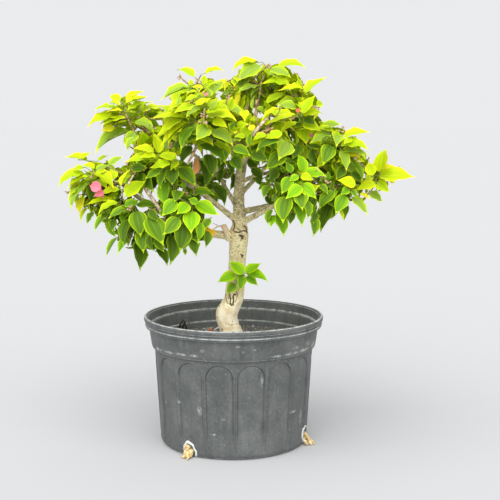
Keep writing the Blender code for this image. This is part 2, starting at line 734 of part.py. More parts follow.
def make_sprout(paths):
    """The leafy shoot low on the trunk, its stem 0.3 mm clear of the bark."""
    points, radii = paths["trunk"]
    k = max(j for j in range(len(points) - 1) if points[j].z <= SPROUT_FOOT)
    share = (SPROUT_FOOT - points[k].z) / (points[k + 1].z - points[k].z)
    centre = points[k].lerp(points[k + 1], share)
    radius = radii[k] + (radii[k + 1] - radii[k]) * share
    up = Vector((0.0, 0.0, 1.0))
    out = around(1.0, SPROUT_ANGLE, 0.0)
    across = out.cross(up)
    foot = centre + out * (radius * (1.0 + BARK_LOBE_DEPTH) + GAP)
    tip = foot + out * SPROUT_STEM + up * 0.002
    rng = random.Random(SPROUT_SEED)
    parts = [tube([foot, foot.lerp(tip, 0.5), tip], SPROUT_RADII, STEM_SIDES)]
    trunk = BVHTree.FromPolygons(*limb_shape(paths, "trunk", LIMB_MARGIN))
    blades = []
    for j in range(SPROUT_LEAVES):
        turn = 2.0 * math.pi * (j + 0.5) / SPROUT_LEAVES
        heading = across * math.cos(turn) + up * (math.sin(turn) * SPROUT_RISE) + out * SPROUT_LEAN
        heading.normalize()
        for attempt in range(LEAF_TRIES):
            face = out + up * 0.5 + Vector([rng.uniform(-0.3, 0.3) for axis in range(3)])
            face = (face - heading * face.dot(heading)).normalized()
            length = SPROUT_LEAF_LENGTH * rng.uniform(0.85, 1.1)
            shape = leaf_shape(tip - heading * 0.0008, heading, face, length)
            blade = BVHTree.FromPolygons(*leaf_shape(tip, heading, face, length, 0.25))
            free = not trunk.overlap(BVHTree.FromPolygons(*shape))
            if free and not any(blade.overlap(earlier) for earlier in blades):
                parts.append(shape)
                blades.append(blade)
                break
            heading = (heading + out * 0.12).normalized()
    joined("trunk_sprout", parts, "leaf")


def make_drain_roots():
    """Roots that grew out through the two drain holes at the front."""
    foot_radius = inner_radius(DRAIN_HEIGHT + DRAIN_ROOT_RADIUS) - 1.2 * GAP
    for name, (angle, turn, spread) in DRAIN_ROOTS.items():
        floor = DRAIN_ROOT_RADIUS + 0.0010
        points = [
            around(foot_radius, angle, DRAIN_HEIGHT),
            around(foot_radius + 0.006, angle, DRAIN_HEIGHT),
            around(foot_radius + 0.006 + 0.35 * spread, angle + 0.4 * turn, 0.0070),
            around(foot_radius + 0.006 + 0.75 * spread, angle + 0.8 * turn, floor),
            around(foot_radius + 0.006 + spread, angle + turn, floor),
        ]
        radii = [DRAIN_ROOT_RADIUS * share for share in (0.9, 1.0, 1.1, 0.9, 0.6)]
        add_object(name, *tube(points, radii, LIMB_SIDES), "root", smooth=True)


def main():
    clear_scene()
    make_pot()
    make_soil()
    paths = limb_paths()
    make_limbs(paths)
    stub = make_pruned_stub(paths)
    verts, faces = list(stub[0]), list(stub[1])
    for name in paths:
        more_verts, more_faces = limb_shape(paths, name, LIMB_MARGIN)
        shift = len(verts)
        verts += more_verts
        faces += [tuple(index + shift for index in face) for face in more_faces]
    limbs = BVHTree.FromPolygons(verts, faces)
    make_masses(paths, limbs)
    make_sprout(paths)
    make_drain_roots()


main()
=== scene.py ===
"""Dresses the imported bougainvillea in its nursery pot: bark, twigs, leaves, pot, soil, light and camera.

Metres, +Z up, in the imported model's own frame. The side that faces -Y is the front.
"""

import math
import random

import bmesh
import bpy
import numpy as np
from mathutils import Matrix, Vector, noise
from mathutils.bvhtree import BVHTree


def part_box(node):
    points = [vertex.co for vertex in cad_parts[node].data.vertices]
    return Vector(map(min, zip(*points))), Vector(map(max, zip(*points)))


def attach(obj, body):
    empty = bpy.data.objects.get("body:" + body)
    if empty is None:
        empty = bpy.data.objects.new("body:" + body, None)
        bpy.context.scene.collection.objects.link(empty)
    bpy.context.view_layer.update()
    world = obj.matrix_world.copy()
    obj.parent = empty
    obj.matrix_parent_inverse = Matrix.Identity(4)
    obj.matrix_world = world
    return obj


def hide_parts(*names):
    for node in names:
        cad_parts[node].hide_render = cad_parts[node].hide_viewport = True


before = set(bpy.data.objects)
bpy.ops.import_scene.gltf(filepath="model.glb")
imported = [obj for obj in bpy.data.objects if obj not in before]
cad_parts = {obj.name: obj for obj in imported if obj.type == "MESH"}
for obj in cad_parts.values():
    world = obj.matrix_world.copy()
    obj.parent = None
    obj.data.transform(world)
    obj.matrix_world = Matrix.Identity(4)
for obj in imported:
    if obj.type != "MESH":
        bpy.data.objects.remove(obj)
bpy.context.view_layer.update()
UP = Vector((0.0, 0.0, 1.0))

# Camera, as the photograph was taken.
CAMERA_PLACE = (0.0, -1.68406, 0.537715)
CAMERA_TILT = math.radians(7.12)
CAMERA_TURN = math.radians(0.95)
CAMERA_LENS = 72.0
CAMERA_SENSOR = 36.0
VIEW_EYE = Vector(CAMERA_PLACE)
VIEW_RIGHT = Vector((math.cos(CAMERA_TURN), -math.sin(CAMERA_TURN), 0.0))
VIEW_FORWARD = Vector((math.sin(CAMERA_TURN), math.cos(CAMERA_TURN), -math.tan(CAMERA_TILT))).normalized()
VIEW_UP = VIEW_RIGHT.cross(VIEW_FORWARD)

# Soft lights: name, direction towards them, spread in degrees and strength.
LIGHTS = (("key", (-0.50, -0.80, 1.10), 80.0, 2.0), ("fill", (0.30, -1.00, 0.55), 90.0, 1.45))
WORLD_COLOUR = (0.97, 0.98, 1.0)
WORLD_STRENGTH = 0.85
FLOOR_REACH = 90.0
FLOOR_LEVEL = -0.0003

# Pot.
POT_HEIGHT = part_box("pot")[1][2]
RIM_RADIUS = 0.1525
RIM_DEPTH = 0.018
LIP_WIDTH = 0.0075
COLLAR_TOP_RADIUS = 0.1445
COLLAR_FOOT_RADIUS = 0.1392
COLLAR_FOOT = 0.1655
BODY_TOP_RADIUS = 0.1348
BODY_FOOT_RADIUS = 0.1262
BODY_FOOT = 0.018
BASE_RADIUS = 0.1167
WALL = 0.0035
INNER_EASE = 0.0010
LEDGE_IN = 0.0042
LEDGE_FOOT = 0.1775
FLOOR_THICKNESS = 0.0045
ARCH_COUNT = 16
ARCH_TURN = math.radians(12.25)
ARCH_HALF_WIDTH = math.radians(10.05)
ARCH_TOP = 0.1585
ARCH_FOOT = 0.0185
ARCH_FADE = 0.030
ARCH_DEPTH = 0.0011
DRAIN_ANGLES = tuple(math.radians(a) for a in (-35.0, 71.5, 166.0, -125.0))
DRAIN_RADIUS = 0.0108
DRAIN_HEIGHTS = (0.0115, 0.0205, 0.0130, 0.0125)
SOIL_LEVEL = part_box("soil")[1][2]

# Trunk stations: height of the ring, lean of its centre along X, radius.
TRUNK_STATIONS = (
    (0.172, 0.0010, 0.0225), (0.180, -0.0020, 0.0200), (0.192, -0.0062, 0.0187), (0.210, -0.0120, 0.0187),
    (0.224, -0.0099, 0.0196), (0.238, -0.0030, 0.0182), (0.250, 0.0010, 0.0165), (0.278, 0.0040, 0.0150),
    (0.306, 0.0058, 0.0145), (0.330, 0.0076, 0.0149), (0.347, 0.0082, 0.0165), (0.360, 0.0090, 0.0158),
    (0.369, 0.0102, 0.0132), (0.376, 0.0100, 0.0096),
)
TRUNK_SIDES = 14
ROOT_LOBES = 5
SOLID_TWIST = 0.12
BARK_TWIST = 8.0
ROOT_LOBE_DEPTH = 0.09
BARK_LOBE_DEPTH = 0.025
FLARE_HEIGHT = 0.030
LIMB_SIDES = 6
LIMB_RINGS = 5

# Limbs: parent, place along the parent (0 foot to 1 tip), tip, bow of the middle, foot and tip radius.
LIMBS = {
    "leader": ("trunk", 1.0, (0.021, 0.0, 0.503), (-0.01, 0.0, 0.006), 0.0098, 0.0076),
    "bough_left_low": ("trunk", 0.8, (-0.18, -0.03, 0.438), (0.006, -0.012, -0.044), 0.0074, 0.0034),
    "bough_right_front": ("trunk", 0.96, (0.072, -0.052, 0.41), (0.002, 0.004, 0.0), 0.0058, 0.0034),
    "bough_left_upper": ("trunk", 0.965, (-0.085, -0.062, 0.45), (-0.002, -0.004, 0.008), 0.0052, 0.003),
    "bough_right_back": ("leader", 0.12, (0.196, 0.004, 0.436), (0.01, 0.036, -0.004), 0.005, 0.0028),
    "bough_left_back": ("leader", 0.16, (-0.04, 0.124, 0.498), (-0.018, -0.014, 0.006), 0.004, 0.0028),
    "bough_back": ("leader", 0.34, (0.078, 0.092, 0.492), (0.002, 0.01, -0.006), 0.0045, 0.0028),
    "branch_back_low": (
        "bough_left_back", 0.3, (-0.052, 0.064, 0.425), (-0.006, 0.0, -0.006), 0.0033, 0.0028,
    ),
    "branch_low_left": (
        "bough_left_low", 0.58, (-0.134, -0.054, 0.388), (0.004, -0.006, -0.004), 0.0033, 0.0028,
    ),
    "branch_low_inner": (
        "bough_left_low", 0.34, (-0.073, -0.06, 0.377), (-0.002, -0.008, 0.0), 0.0034, 0.0028,
    ),
    "branch_upper_left": (
        "bough_left_upper", 0.56, (-0.128, 0.0, 0.512), (-0.012, 0.01, 0.012), 0.0033, 0.0028,
    ),
    "branch_back_left": ("bough_left_back", 0.5, (-0.112, 0.104, 0.457), (0.0, 0.01, 0.004), 0.0033, 0.0028),
    "branch_inner_left": (
        "bough_left_back", 0.45, (-0.07, 0.006, 0.492), (-0.004, 0.0, 0.004), 0.0033, 0.0028,
    ),
    "branch_inner_right": ("leader", 0.5, (0.052, -0.024, 0.458), (0.0, 0.0, 0.002), 0.0038, 0.0028),
    "branch_front_left": ("leader", 0.8, (-0.03, -0.07, 0.516), (0.0, -0.008, 0.006), 0.0042, 0.0028),
    "branch_front_right": ("leader", 0.72, (0.031, -0.072, 0.496), (0.0, -0.004, 0.004), 0.0038, 0.0028),
    "branch_top_left": ("leader", 0.9, (-0.04, 0.014, 0.57), (-0.002, 0.0, 0.008), 0.0042, 0.0028),
    "bough_top": ("leader", 1.0, (0.044, 0.004, 0.574), (-0.002, 0.0, 0.0), 0.0052, 0.003),
    "bough_top_right": ("leader", 0.94, (0.086, -0.008, 0.545), (-0.002, 0.0, 0.004), 0.0046, 0.0028),
    "branch_back_top": ("bough_top", 0.35, (0.024, 0.072, 0.56), (0.0, 0.004, 0.006), 0.0034, 0.0028),
    "branch_mid_right": (
        "bough_right_back", 0.52, (0.148, -0.022, 0.47), (-0.006, -0.004, 0.008), 0.0033, 0.0028,
    ),
    "branch_low_right": (
        "bough_right_back", 0.66, (0.156, -0.018, 0.416), (-0.004, -0.006, -0.004), 0.0033, 0.0028,
    ),
    "branch_far_back": ("bough_back", 0.62, (0.098, 0.116, 0.474), (0.002, -0.004, 0.004), 0.0033, 0.0028),
    "branch_right_back": (
        "bough_right_back", 0.78, (0.196, 0.062, 0.446), (0.004, 0.006, 0.002), 0.0033, 0.0028,
    ),
}

PRUNED_STUB_TIP = (-0.0165, -0.0215, 0.3710)
PRUNED_STUB_RADIUS = 0.0047
STUB_FOOT = (-0.0060, -0.0120, 0.3470)
DRY_TWIG_TIP = (-0.0350, -0.0270, 0.3650)
# Masses: limb that carries it, centre, reach along X, Y and Z, droop of its leaves, shoots, seed.
MASSES = {
    "foliage_far_left": ("bough_left_low", (-0.222, -0.02, 0.424), (0.076, 0.068, 0.066), 0.47, 4, 59),
    "foliage_upper_left": ("branch_upper_left", (-0.17, 0.012, 0.54), (0.084, 0.074, 0.058), 0.32, 4, 60),
    "foliage_low_left": ("branch_low_left", (-0.158, -0.066, 0.378), (0.072, 0.068, 0.082), 0.87, 4, 59),
    "foliage_low_inner": ("branch_low_inner", (-0.088, -0.09, 0.378), (0.07, 0.066, 0.084), 0.9, 5, 69),
    "foliage_mid_left": ("bough_left_upper", (-0.126, -0.092, 0.474), (0.07, 0.07, 0.06), 0.52, 4, 64),
    "foliage_inner_left": ("branch_inner_left", (-0.106, -0.018, 0.526), (0.058, 0.058, 0.052), 0.5, 3, 68),
    "foliage_centre_right": ("branch_inner_right", (0.078, -0.04, 0.476), (0.052, 0.052, 0.052), 0.5, 3, 64),
    "foliage_front_left": ("branch_front_left", (-0.05, -0.115, 0.543), (0.07, 0.07, 0.064), 0.42, 4, 53),
    "foliage_top_left": ("branch_top_left", (-0.07, 0.018, 0.594), (0.066, 0.072, 0.052), 0.24, 4, 65),
    "foliage_top": ("bough_top", (0.052, 0.008, 0.603), (0.086, 0.072, 0.056), 0.22, 4, 59),
    "foliage_front_right": ("branch_front_right", (0.036, -0.115, 0.52), (0.066, 0.068, 0.064), 0.47, 4, 63),
    "foliage_top_right": ("bough_top_right", (0.114, -0.02, 0.566), (0.068, 0.072, 0.062), 0.37, 4, 47),
    "foliage_mid_right": ("branch_mid_right", (0.18, -0.05, 0.488), (0.066, 0.068, 0.062), 0.47, 4, 44),
    "foliage_far_right": ("bough_right_back", (0.24, 0.0, 0.452), (0.066, 0.064, 0.06), 0.47, 4, 53),
    "foliage_low_right": ("bough_right_front", (0.097, -0.095, 0.42), (0.06, 0.068, 0.07), 0.92, 4, 63),
    "foliage_low_far_right": ("branch_low_right", (0.164, -0.062, 0.424), (0.064, 0.066, 0.064), 0.87, 4, 62),
    "foliage_back_left": ("branch_back_left", (-0.16, 0.122, 0.47), (0.084, 0.078, 0.072), 0.57, 3, 53),
    "foliage_back": ("bough_left_back", (-0.03, 0.168, 0.532), (0.084, 0.072, 0.068), 0.47, 3, 68),
    "foliage_back_right": ("branch_far_back", (0.122, 0.152, 0.492), (0.08, 0.074, 0.072), 0.57, 3, 43),
    "foliage_far_back_right": ("branch_right_back", (0.208, 0.09, 0.452), (0.07, 0.068, 0.064), 0.57, 4, 51),
    "foliage_back_low": ("branch_back_low", (-0.046, 0.086, 0.44), (0.06, 0.06, 0.056), 0.72, 3, 49),
    "foliage_back_top": ("branch_back_top", (0.03, 0.098, 0.572), (0.08, 0.064, 0.06), 0.42, 3, 58),
    "foliage_inner_right": ("bough_back", (0.092, 0.092, 0.534), (0.06, 0.06, 0.058), 0.52, 3, 57),
}

# Growth of the masses, by the rule of the solids.
LEAVES_PER_SHOOT = 7
LEAF_LENGTH = 0.056
LEAF_WIDTH_RATIO = 0.62
LEAF_WIDEST = 0.45
LEAF_BEND = 0.10
LEAF_TRIES = 8
SOLID_BLADE_FROM = 0.11
BLADE_FROM = 0.16
LOW_SPREAD = 82.0
HIGH_SPREAD = 42.0
CELL_MARGIN = 0.0008
LIMB_MARGIN = 0.0008
GAP = 0.0003
STEM_SIDES = 5
STEM_STRAIGHT = 0.006
TWIG_SIDES = 3
TWIG_RADII = (0.0018, 0.00165, 0.0015)
STEM_TIP_RADIUS = 0.0022
GOLDEN_ANGLE = math.pi * (3.0 - math.sqrt(5.0))

# Finer growth than the solids have.
SIDE_TWIGS = 3
SIDE_TWIG_REACH = 0.026
SIDE_TWIG_FROM = 0.35
SIDE_TWIG_SPAN = 0.5
SIDE_TWIG_BOW = 0.002
SIZE_SPREAD = (0.75, 1.2)
SIDE_TWIG_ROOM = (0.0011, 0.0010, 0.0008)
SIDE_LEAVES = 5
SIDE_LEAF_LENGTH = 0.047
SIDE_LEAF_TRIES = 5
YOUNG_LEAVES = 3
YOUNG_LEAF_LENGTH = 0.019
FINE_TWIG_SIDES = 6
LEAF_PIECE_LIMIT = 190000
MASS_TRIANGLES = 16000
TWIG_STEP = 0.004
FINE_STEP = 0.003
SHOOT_RADII = (0.0019, 0.0016, 0.0011)
SIDE_TWIG_RADII = (0.0012, 0.0010, 0.0007)
HUB_TWIG_RADII = (0.0013, 0.0010, 0.0008)
SPROUT_RADII = (0.0022, 0.0018, 0.0013)
BUD_SHARE = 0.6
TWIG_KNUCKLE = 0.22

SPROUT_FOOT = 0.2860
SPROUT_ANGLE = math.radians(16.0)
SPROUT_STEM = 0.010

# What the photo shows of the plant, read off in pixels of the photo.
PHOTO_WIDTH = 500.0
PHOTO_MIDDLE = PHOTO_WIDTH / 2.0
PHOTO_FOCAL = PHOTO_WIDTH * CAMERA_LENS / CAMERA_SENSOR

# Leaves by tone: foot, tip and the width that shows. First those that show whole, in front of the others.
WHOLE_LEAVES = {
    "dark": (
        (207, 154, 212, 178.4, 14), (191.2, 146, 179.1, 164.4, 12), (110, 165.5, 122.7, 154.7, 8),
        (172.3, 168.3, 172, 186, 13), (129.2, 219, 121.9, 247.1, 12), (136.2, 243.3, 141, 272, 11),
        (170.6, 235.6, 172.8, 266.2, 16), (182.1, 223.5, 181.5, 253.5, 17),
        (190.4, 236.9, 195.5, 257.3, 10), (207, 231.1, 206, 248.4, 9.5), (330, 204, 319.3, 232.5, 15),
        (276, 169, 270, 184, 12),
    ),
    "green": (
        (129.1, 131.7, 90.8, 151, 10.5), (133.8, 122.3, 158, 130.6, 9), (189.7, 87.5, 159.8, 100.6, 9),
        (210.8, 93.3, 225.5, 78.6, 10), (260, 65, 236, 81, 16), (193.8, 127.4, 177.8, 149.4, 10),
        (233, 148, 252.6, 154.5, 11), (279.4, 139.5, 253.3, 149.1, 12), (285, 152, 265, 171, 17),
        (331, 145, 321.4, 165.2, 17), (352.6, 162, 364.7, 182.8, 8), (136.6, 204.6, 157.9, 205.6, 8),
        (164.6, 172.1, 158.2, 189.3, 8), (179.1, 168.2, 197, 186.7, 15), (148.3, 217.1, 164.3, 246.5, 19),
        (178.3, 217.8, 164.6, 237.5, 16), (141.3, 229.9, 142.6, 253.8, 16),
        (191.2, 193.7, 216.1, 193.1, 8), (301, 191, 300.2, 210.7, 15), (334, 191, 316.3, 209, 12),
        (269.9, 185.5, 261.9, 198.9, 8), (272, 209.6, 266.4, 225.4, 6.5), (313, 217, 314.6, 237.6, 11),
    ),
    "pale": (
        (134.8, 132.3, 125.9, 146, 14), (199.9, 107.9, 184, 116.2, 9), (270.7, 68.5, 293, 75.5, 11),
        (296.2, 107.4, 276.5, 105.2, 10), (206.5, 125.5, 197, 141.5, 17), (211.6, 130.6, 237.3, 144, 12),
        (200.2, 144, 230.3, 161.9, 10), (289, 141.5, 277.5, 158.7, 19), (323.8, 126.4, 342, 124.4, 8),
        (338.5, 134, 334.6, 145.5, 15), (330.8, 134, 308.5, 143.9, 10), (341.1, 151.2, 347.5, 171.9, 12),
        (88.5, 184, 66.6, 208.9, 12), (135.6, 211.4, 142, 237.8, 18), (125.7, 209.1, 107.9, 219.6, 8),
        (117.1, 237.5, 105.9, 258.6, 5), (287, 197, 280.5, 224.5, 18), (306.5, 200, 309.4, 220.2, 10),
        (369, 191.5, 383, 203, 9), (352, 196.5, 369.2, 215.8, 10),
    ),
    "lime": (
        (117.6, 108, 91.5, 107.7, 5), (193.9, 77.3, 175.1, 66.2, 8), (194.2, 105.4, 172.5, 112.4, 9),
        (277, 67, 308.3, 64.8, 9), (290, 86, 260.7, 82, 10), (305.8, 94, 325.9, 76.2, 9),
        (302.6, 113.8, 314.1, 93.4, 11), (157.4, 158.7, 123.3, 163.6, 9), (282, 131.9, 264.4, 140.2, 10),
        (303, 128.5, 307.5, 144, 15), (303, 123, 322, 131.5, 11), (341, 145.5, 371, 147.1, 11),
        (378, 181.8, 388.5, 193.3, 12), (83.8, 173.8, 54.1, 184, 9), (126.5, 196.8, 146, 178.6, 15),
        (167.8, 181, 165.9, 210.1, 13), (176, 201, 161.6, 216.7, 14), (127, 235, 118.4, 255.7, 8),
        (199.3, 221.6, 198.7, 242.6, 9), (295.5, 206, 302.5, 227.5, 10), (345.5, 195.5, 333.3, 214, 15),
        (277.5, 215, 285.8, 237, 12),
    ),
    "bright": (
        (117.6, 116.4, 84.1, 125.3, 11), (126.5, 99.8, 144.8, 90.4, 7.5), (203.8, 73.5, 225.1, 68.1, 6),
        (184.6, 117.5, 150.2, 119.4, 6), (207, 116, 239.5, 116, 10), (258, 62, 229.3, 68.1, 8),
        (303.2, 116.3, 324.3, 109.3, 8), (188, 122, 160, 149, 9), (158.7, 153, 153.6, 131.9, 11),
        (302, 172, 301, 151.5, 12.5), (297.3, 122.3, 278.8, 132.8, 6), (344.2, 137.2, 370.4, 131.5, 8),
        (380.2, 172, 385.9, 143.8, 10), (379.6, 175.4, 415.2, 177.4, 17), (372, 176, 367.6, 161, 12),
        (355.8, 184.3, 336.8, 180, 11), (375.5, 183, 355.6, 190.7, 10), (87, 161, 64, 157.2, 6),
        (94.6, 171.9, 116.3, 189.1, 11), (112.5, 199.3, 85.1, 205.4, 6), (187, 203, 178.5, 216, 13),
        (191.7, 211.4, 191, 234.3, 18), (196, 203, 219.3, 217.9, 16), (303.5, 174.5, 327.5, 173.5, 11),
        (301.5, 186, 285.5, 199.8, 13.5), (302.5, 184.5, 317.8, 198.2, 14),
        (276.5, 215, 269.2, 228.2, 6.5),
    ),
    "yellow": (
        (82, 197, 79.5, 215, 9),
    ),
}
PART_LEAVES = {
    "dark": (
        (134, 137.4, 125.6, 151.5, 8), (204, 96, 193, 103, 10), (258.6, 85.7, 235, 92, 6),
        (304, 118.7, 316.5, 124.4, 9), (200, 160, 208.4, 189.9, 11), (178, 141, 176, 153, 5),
        (233, 157, 243, 171, 13), (253, 152, 268, 162, 13), (297.3, 144.6, 294.7, 159.3, 15),
        (331, 137, 319, 144, 6), (309, 146, 323, 148.5, 5), (312, 150, 316, 166, 8),
        (90, 184, 92, 205, 10), (132, 168, 148, 170, 10), (150, 210, 158, 222, 10),
        (113, 220, 112, 231.5, 10), (149, 236, 152.5, 252.2, 8), (157, 249, 170, 265.6, 9),
        (315, 198, 310, 218.5, 10), (252, 169, 264, 181, 10), (275, 182, 280.5, 196, 7),
        (276, 195, 272, 202, 5), (294, 214, 288.5, 225, 7), (331, 184, 322, 188, 6),
        (316, 213, 312, 224, 9), (344, 168, 335, 180, 12), (352, 172, 361, 183, 8),
    ),
    "green": (
        (172, 114, 152, 117.5, 5), (209.5, 97, 206.3, 85.6, 5), (234.4, 91.4, 219.7, 96.5, 6),
        (268, 72, 279, 79, 5), (258.9, 88.3, 249.7, 97.5, 4), (254, 98, 253, 112, 2.5),
        (206, 136, 230, 144, 8), (249.4, 144.6, 250.7, 130.6, 6), (231, 130, 235.4, 119.1, 6),
        (343.4, 152.4, 370.7, 155.3, 5), (96.6, 170.6, 109.3, 164.2, 6), (159.5, 170.8, 144.8, 179.1, 8),
        (178, 190.5, 176.5, 202.7, 12.5), (93.5, 212, 87.1, 225.4, 7), (155, 240, 164, 253, 8),
        (210.2, 219, 201.2, 230.5, 9), (184, 249, 185.9, 256, 4), (319.5, 185, 329, 193.8, 7),
        (348, 206, 343.8, 221.3, 7), (352, 190, 357, 198, 6),
    ),
    "pale": (
        (178.3, 105.4, 181.5, 95.5, 6), (211.4, 109.2, 218.4, 97.7, 7), (295.6, 100.4, 275.2, 105.5, 7),
        (99, 174, 108, 170, 4), (109, 214, 92.2, 231.5, 7),
    ),
    "lime": (
        (129, 111, 153.5, 100, 5), (192.3, 85, 189.1, 78.6, 5), (204.4, 85, 203.8, 73.5, 8),
        (197.4, 92, 187.5, 92.6, 3), (197.4, 95.8, 183.4, 102.2, 5), (229.3, 109.2, 234.4, 95.8, 6),
        (207, 114, 226, 109, 6), (282.2, 94, 262.1, 105.2, 8), (292.4, 115, 272.6, 113.1, 9),
        (316, 106.1, 323.3, 101.7, 8), (300, 108, 299, 101, 4), (245.8, 109.3, 248.7, 89.5, 5),
        (214, 143, 234.8, 153.9, 9), (169.7, 162.6, 149.6, 169.9, 10), (174.6, 159.3, 155.5, 153, 9),
        (175.6, 160.6, 167.6, 151, 9), (178.6, 161.3, 169.1, 169.9, 7), (291, 173, 286.4, 160.6, 8),
        (266, 134, 252, 141, 6), (245, 137, 233.5, 136, 6), (318, 128, 337.2, 132.7, 7),
        (352, 138, 343, 144, 6), (372, 174, 364.7, 182.2, 8), (355, 160, 365.3, 161.3, 5),
        (83.2, 167.4, 71.7, 169.7, 6), (98.5, 161, 109, 154.3, 4), (117.6, 202.5, 95.4, 212.2, 7),
        (124.4, 205.3, 140.4, 202, 8.5), (87.8, 208.2, 79.1, 222.9, 5), (198, 203, 188, 198, 8),
        (290.5, 177, 281, 195, 14), (265.4, 184.2, 257.1, 190, 7), (349, 188, 340.3, 195.7, 9),
    ),
    "bright": (
        (120.2, 101, 108.5, 93, 8), (119.5, 105.5, 106.8, 101.4, 3.5), (125.3, 117, 99.7, 124, 6),
        (126.5, 104, 150, 97, 6.5), (142, 112, 170.3, 104.4, 6), (212, 84, 233.6, 83.1, 6),
        (215.3, 106, 225.8, 99, 5), (196.1, 106, 212.7, 96.8, 7), (303.9, 88.9, 277.1, 91.5, 7),
        (279.6, 107.4, 259.6, 121, 5), (296, 114, 264.5, 125.6, 6), (242.7, 108.7, 244.6, 90.8, 5),
        (244, 110, 245.5, 121.5, 11), (181, 119.1, 157.4, 137, 9), (186, 124, 164.5, 143, 8),
        (212, 122, 229, 127, 9), (153.6, 151, 132.9, 147.2, 7), (155.5, 156.1, 139.2, 158, 7),
        (80, 159, 91, 151, 6), (94.6, 168.7, 80, 164.2, 6), (88.3, 176.4, 64.7, 189.1, 5),
        (77, 188, 67.9, 198.4, 5), (115, 179.5, 111.2, 166.5, 11), (122, 185.9, 131.6, 167.4, 5),
        (119, 190, 99, 195, 8), (298.5, 175.5, 288.7, 181.2, 7),
    ),
    "yellow": (
        (122, 110.6, 105.5, 111.9, 4), (113.8, 127.2, 101, 131, 8), (226, 88.2, 226.4, 75.7, 4),
        (203, 88, 191, 87, 4), (237.6, 107.4, 241.4, 89.5, 5), (253, 131, 250, 123.5, 8),
        (236, 134, 235, 130, 5), (350, 156, 361, 158, 4), (383, 169, 393.4, 164.4, 5),
        (79.3, 183.4, 68.8, 189.4, 3), (301, 175, 313.5, 181, 9), (340, 210, 344, 221, 4),
        (360, 193.5, 370.5, 200, 4),
    ),
}
# Leaves in the middle of the crown, dark and green, which also paint the shade deep inside it, by their depth
# from the trunk in metres, then as above.
DEEP_LEAVES = {
    0.01: {
        "dark": (
            (229, 160, 232, 176, 8), (224, 168, 219, 186, 8), (213, 186, 228, 205, 10),
            (216, 158, 224, 172, 9), (236, 176, 234, 196, 5),
        ),
        "green": (
            (233, 172, 231, 192, 6), (205, 190, 216, 204, 9), (226, 150, 222, 166, 10),
        ),
    },
    -0.02: {
        "dark": (
            (257, 168, 262, 188, 9), (266, 196, 275, 208, 8),
        ),
        "green": (
            (247, 158, 256, 177, 9), (262, 182, 270, 200, 9), (246, 152, 262, 166, 10),
        ),
    },
}
SPROUT_DEPTH = -0.034
SPROUT_LEAVES = {
    "green": ((235, 284, 225.8, 293.4, 10),),
    "lime": ((246, 277, 258.7, 285.8, 9), (240.5, 275, 240.2, 291.5, 9.5)),
    "bright": (
        (243, 274, 228.7, 260.3, 12), (246, 273, 262.3, 263.2, 9.5), (247, 274, 270, 279.8, 9),
        (235.5, 275, 216.6, 282.6, 12),
    ),
}
# Bracts and scraps: kind, metres towards the camera from the front of their mass, then a row as above.
BRACTS = (
    ("pink", 0.004, (102, 189, 88.5, 183.5, 12)), ("pink", 0.004, (103, 191, 94, 197, 8)),
    ("pink", 0.004, (96, 194, 104, 198.5, 4)), ("pink", 0.004, (205.5, 96.5, 206.8, 91.5, 3)),
    ("pink", 0.004, (311, 137.5, 312, 132.5, 4)), ("dry", 0.012, (195.5, 158, 193, 179, 7)),
    ("red", 0.004, (297.2, 113, 298.4, 107.5, 5)),
)
# The withered leaf that hangs from the low left bough, in two halves, and its depth.
WITHERED_DEPTH = -0.055
WITHERED_LEAF = ((203, 230, 213.5, 231.5, 6.5), (212.5, 229, 211, 238, 5))
# Twigs that show: whether dry, width in pixels, metres behind the front of their mass, and their points.
# They lose this share of their width towards the tip.
SEEN_TWIG_TAPER = 0.35
SEEN_TWIGS = (
    (False, 2.2, 0.012, ((125.9, 113.8), (134, 131), (144.4, 145.7))),
    (False, 2.0, 0.008, ((264.3, 74.2), (260.5, 85.7), (259.6, 94.6), (256.7, 104.8), (255.7, 111.2))),
    (False, 3.0, 0.004, ((197, 144.6), (193, 154), (187.4, 163.8))),
    (True, 2.0, -0.002, ((127.8, 184.6), (133.5, 175))),
    (True, 4.2, 0.006, ((145.5, 188), (151, 197), (157, 205), (162, 213))),
    (True, 4.0, 0.010, ((252, 135.7), (259, 127), (267.3, 117.9))),
    (False, 3.0, 0.009, ((255.8, 134.4), (264, 131.5), (273.7, 127.4))),
    (False, 2.4, 0.008, ((256.5, 100), (256, 112), (257, 124))),
    (False, 1.8, 0.0, ((204.5, 108), (204, 116), (203.5, 124))),
)
# Dry flower ends: place and count, and metres towards the camera from the front of their mass.
BUD_FORWARD = 0.003
BUD_PLACES = (
    (266.9, 65.9, 4), (204, 116, 3), (204, 123, 3), (169.5, 146, 4), (343, 130, 4), (94.6, 176.4, 3),
    (131, 208, 4), (317, 173, 4), (323, 178, 5), (328, 184, 4), (197.4, 81.1, 2), (206.3, 94, 2),
    (289, 118, 3), (240, 77, 3), (152, 128, 3), (356, 159, 3),
)
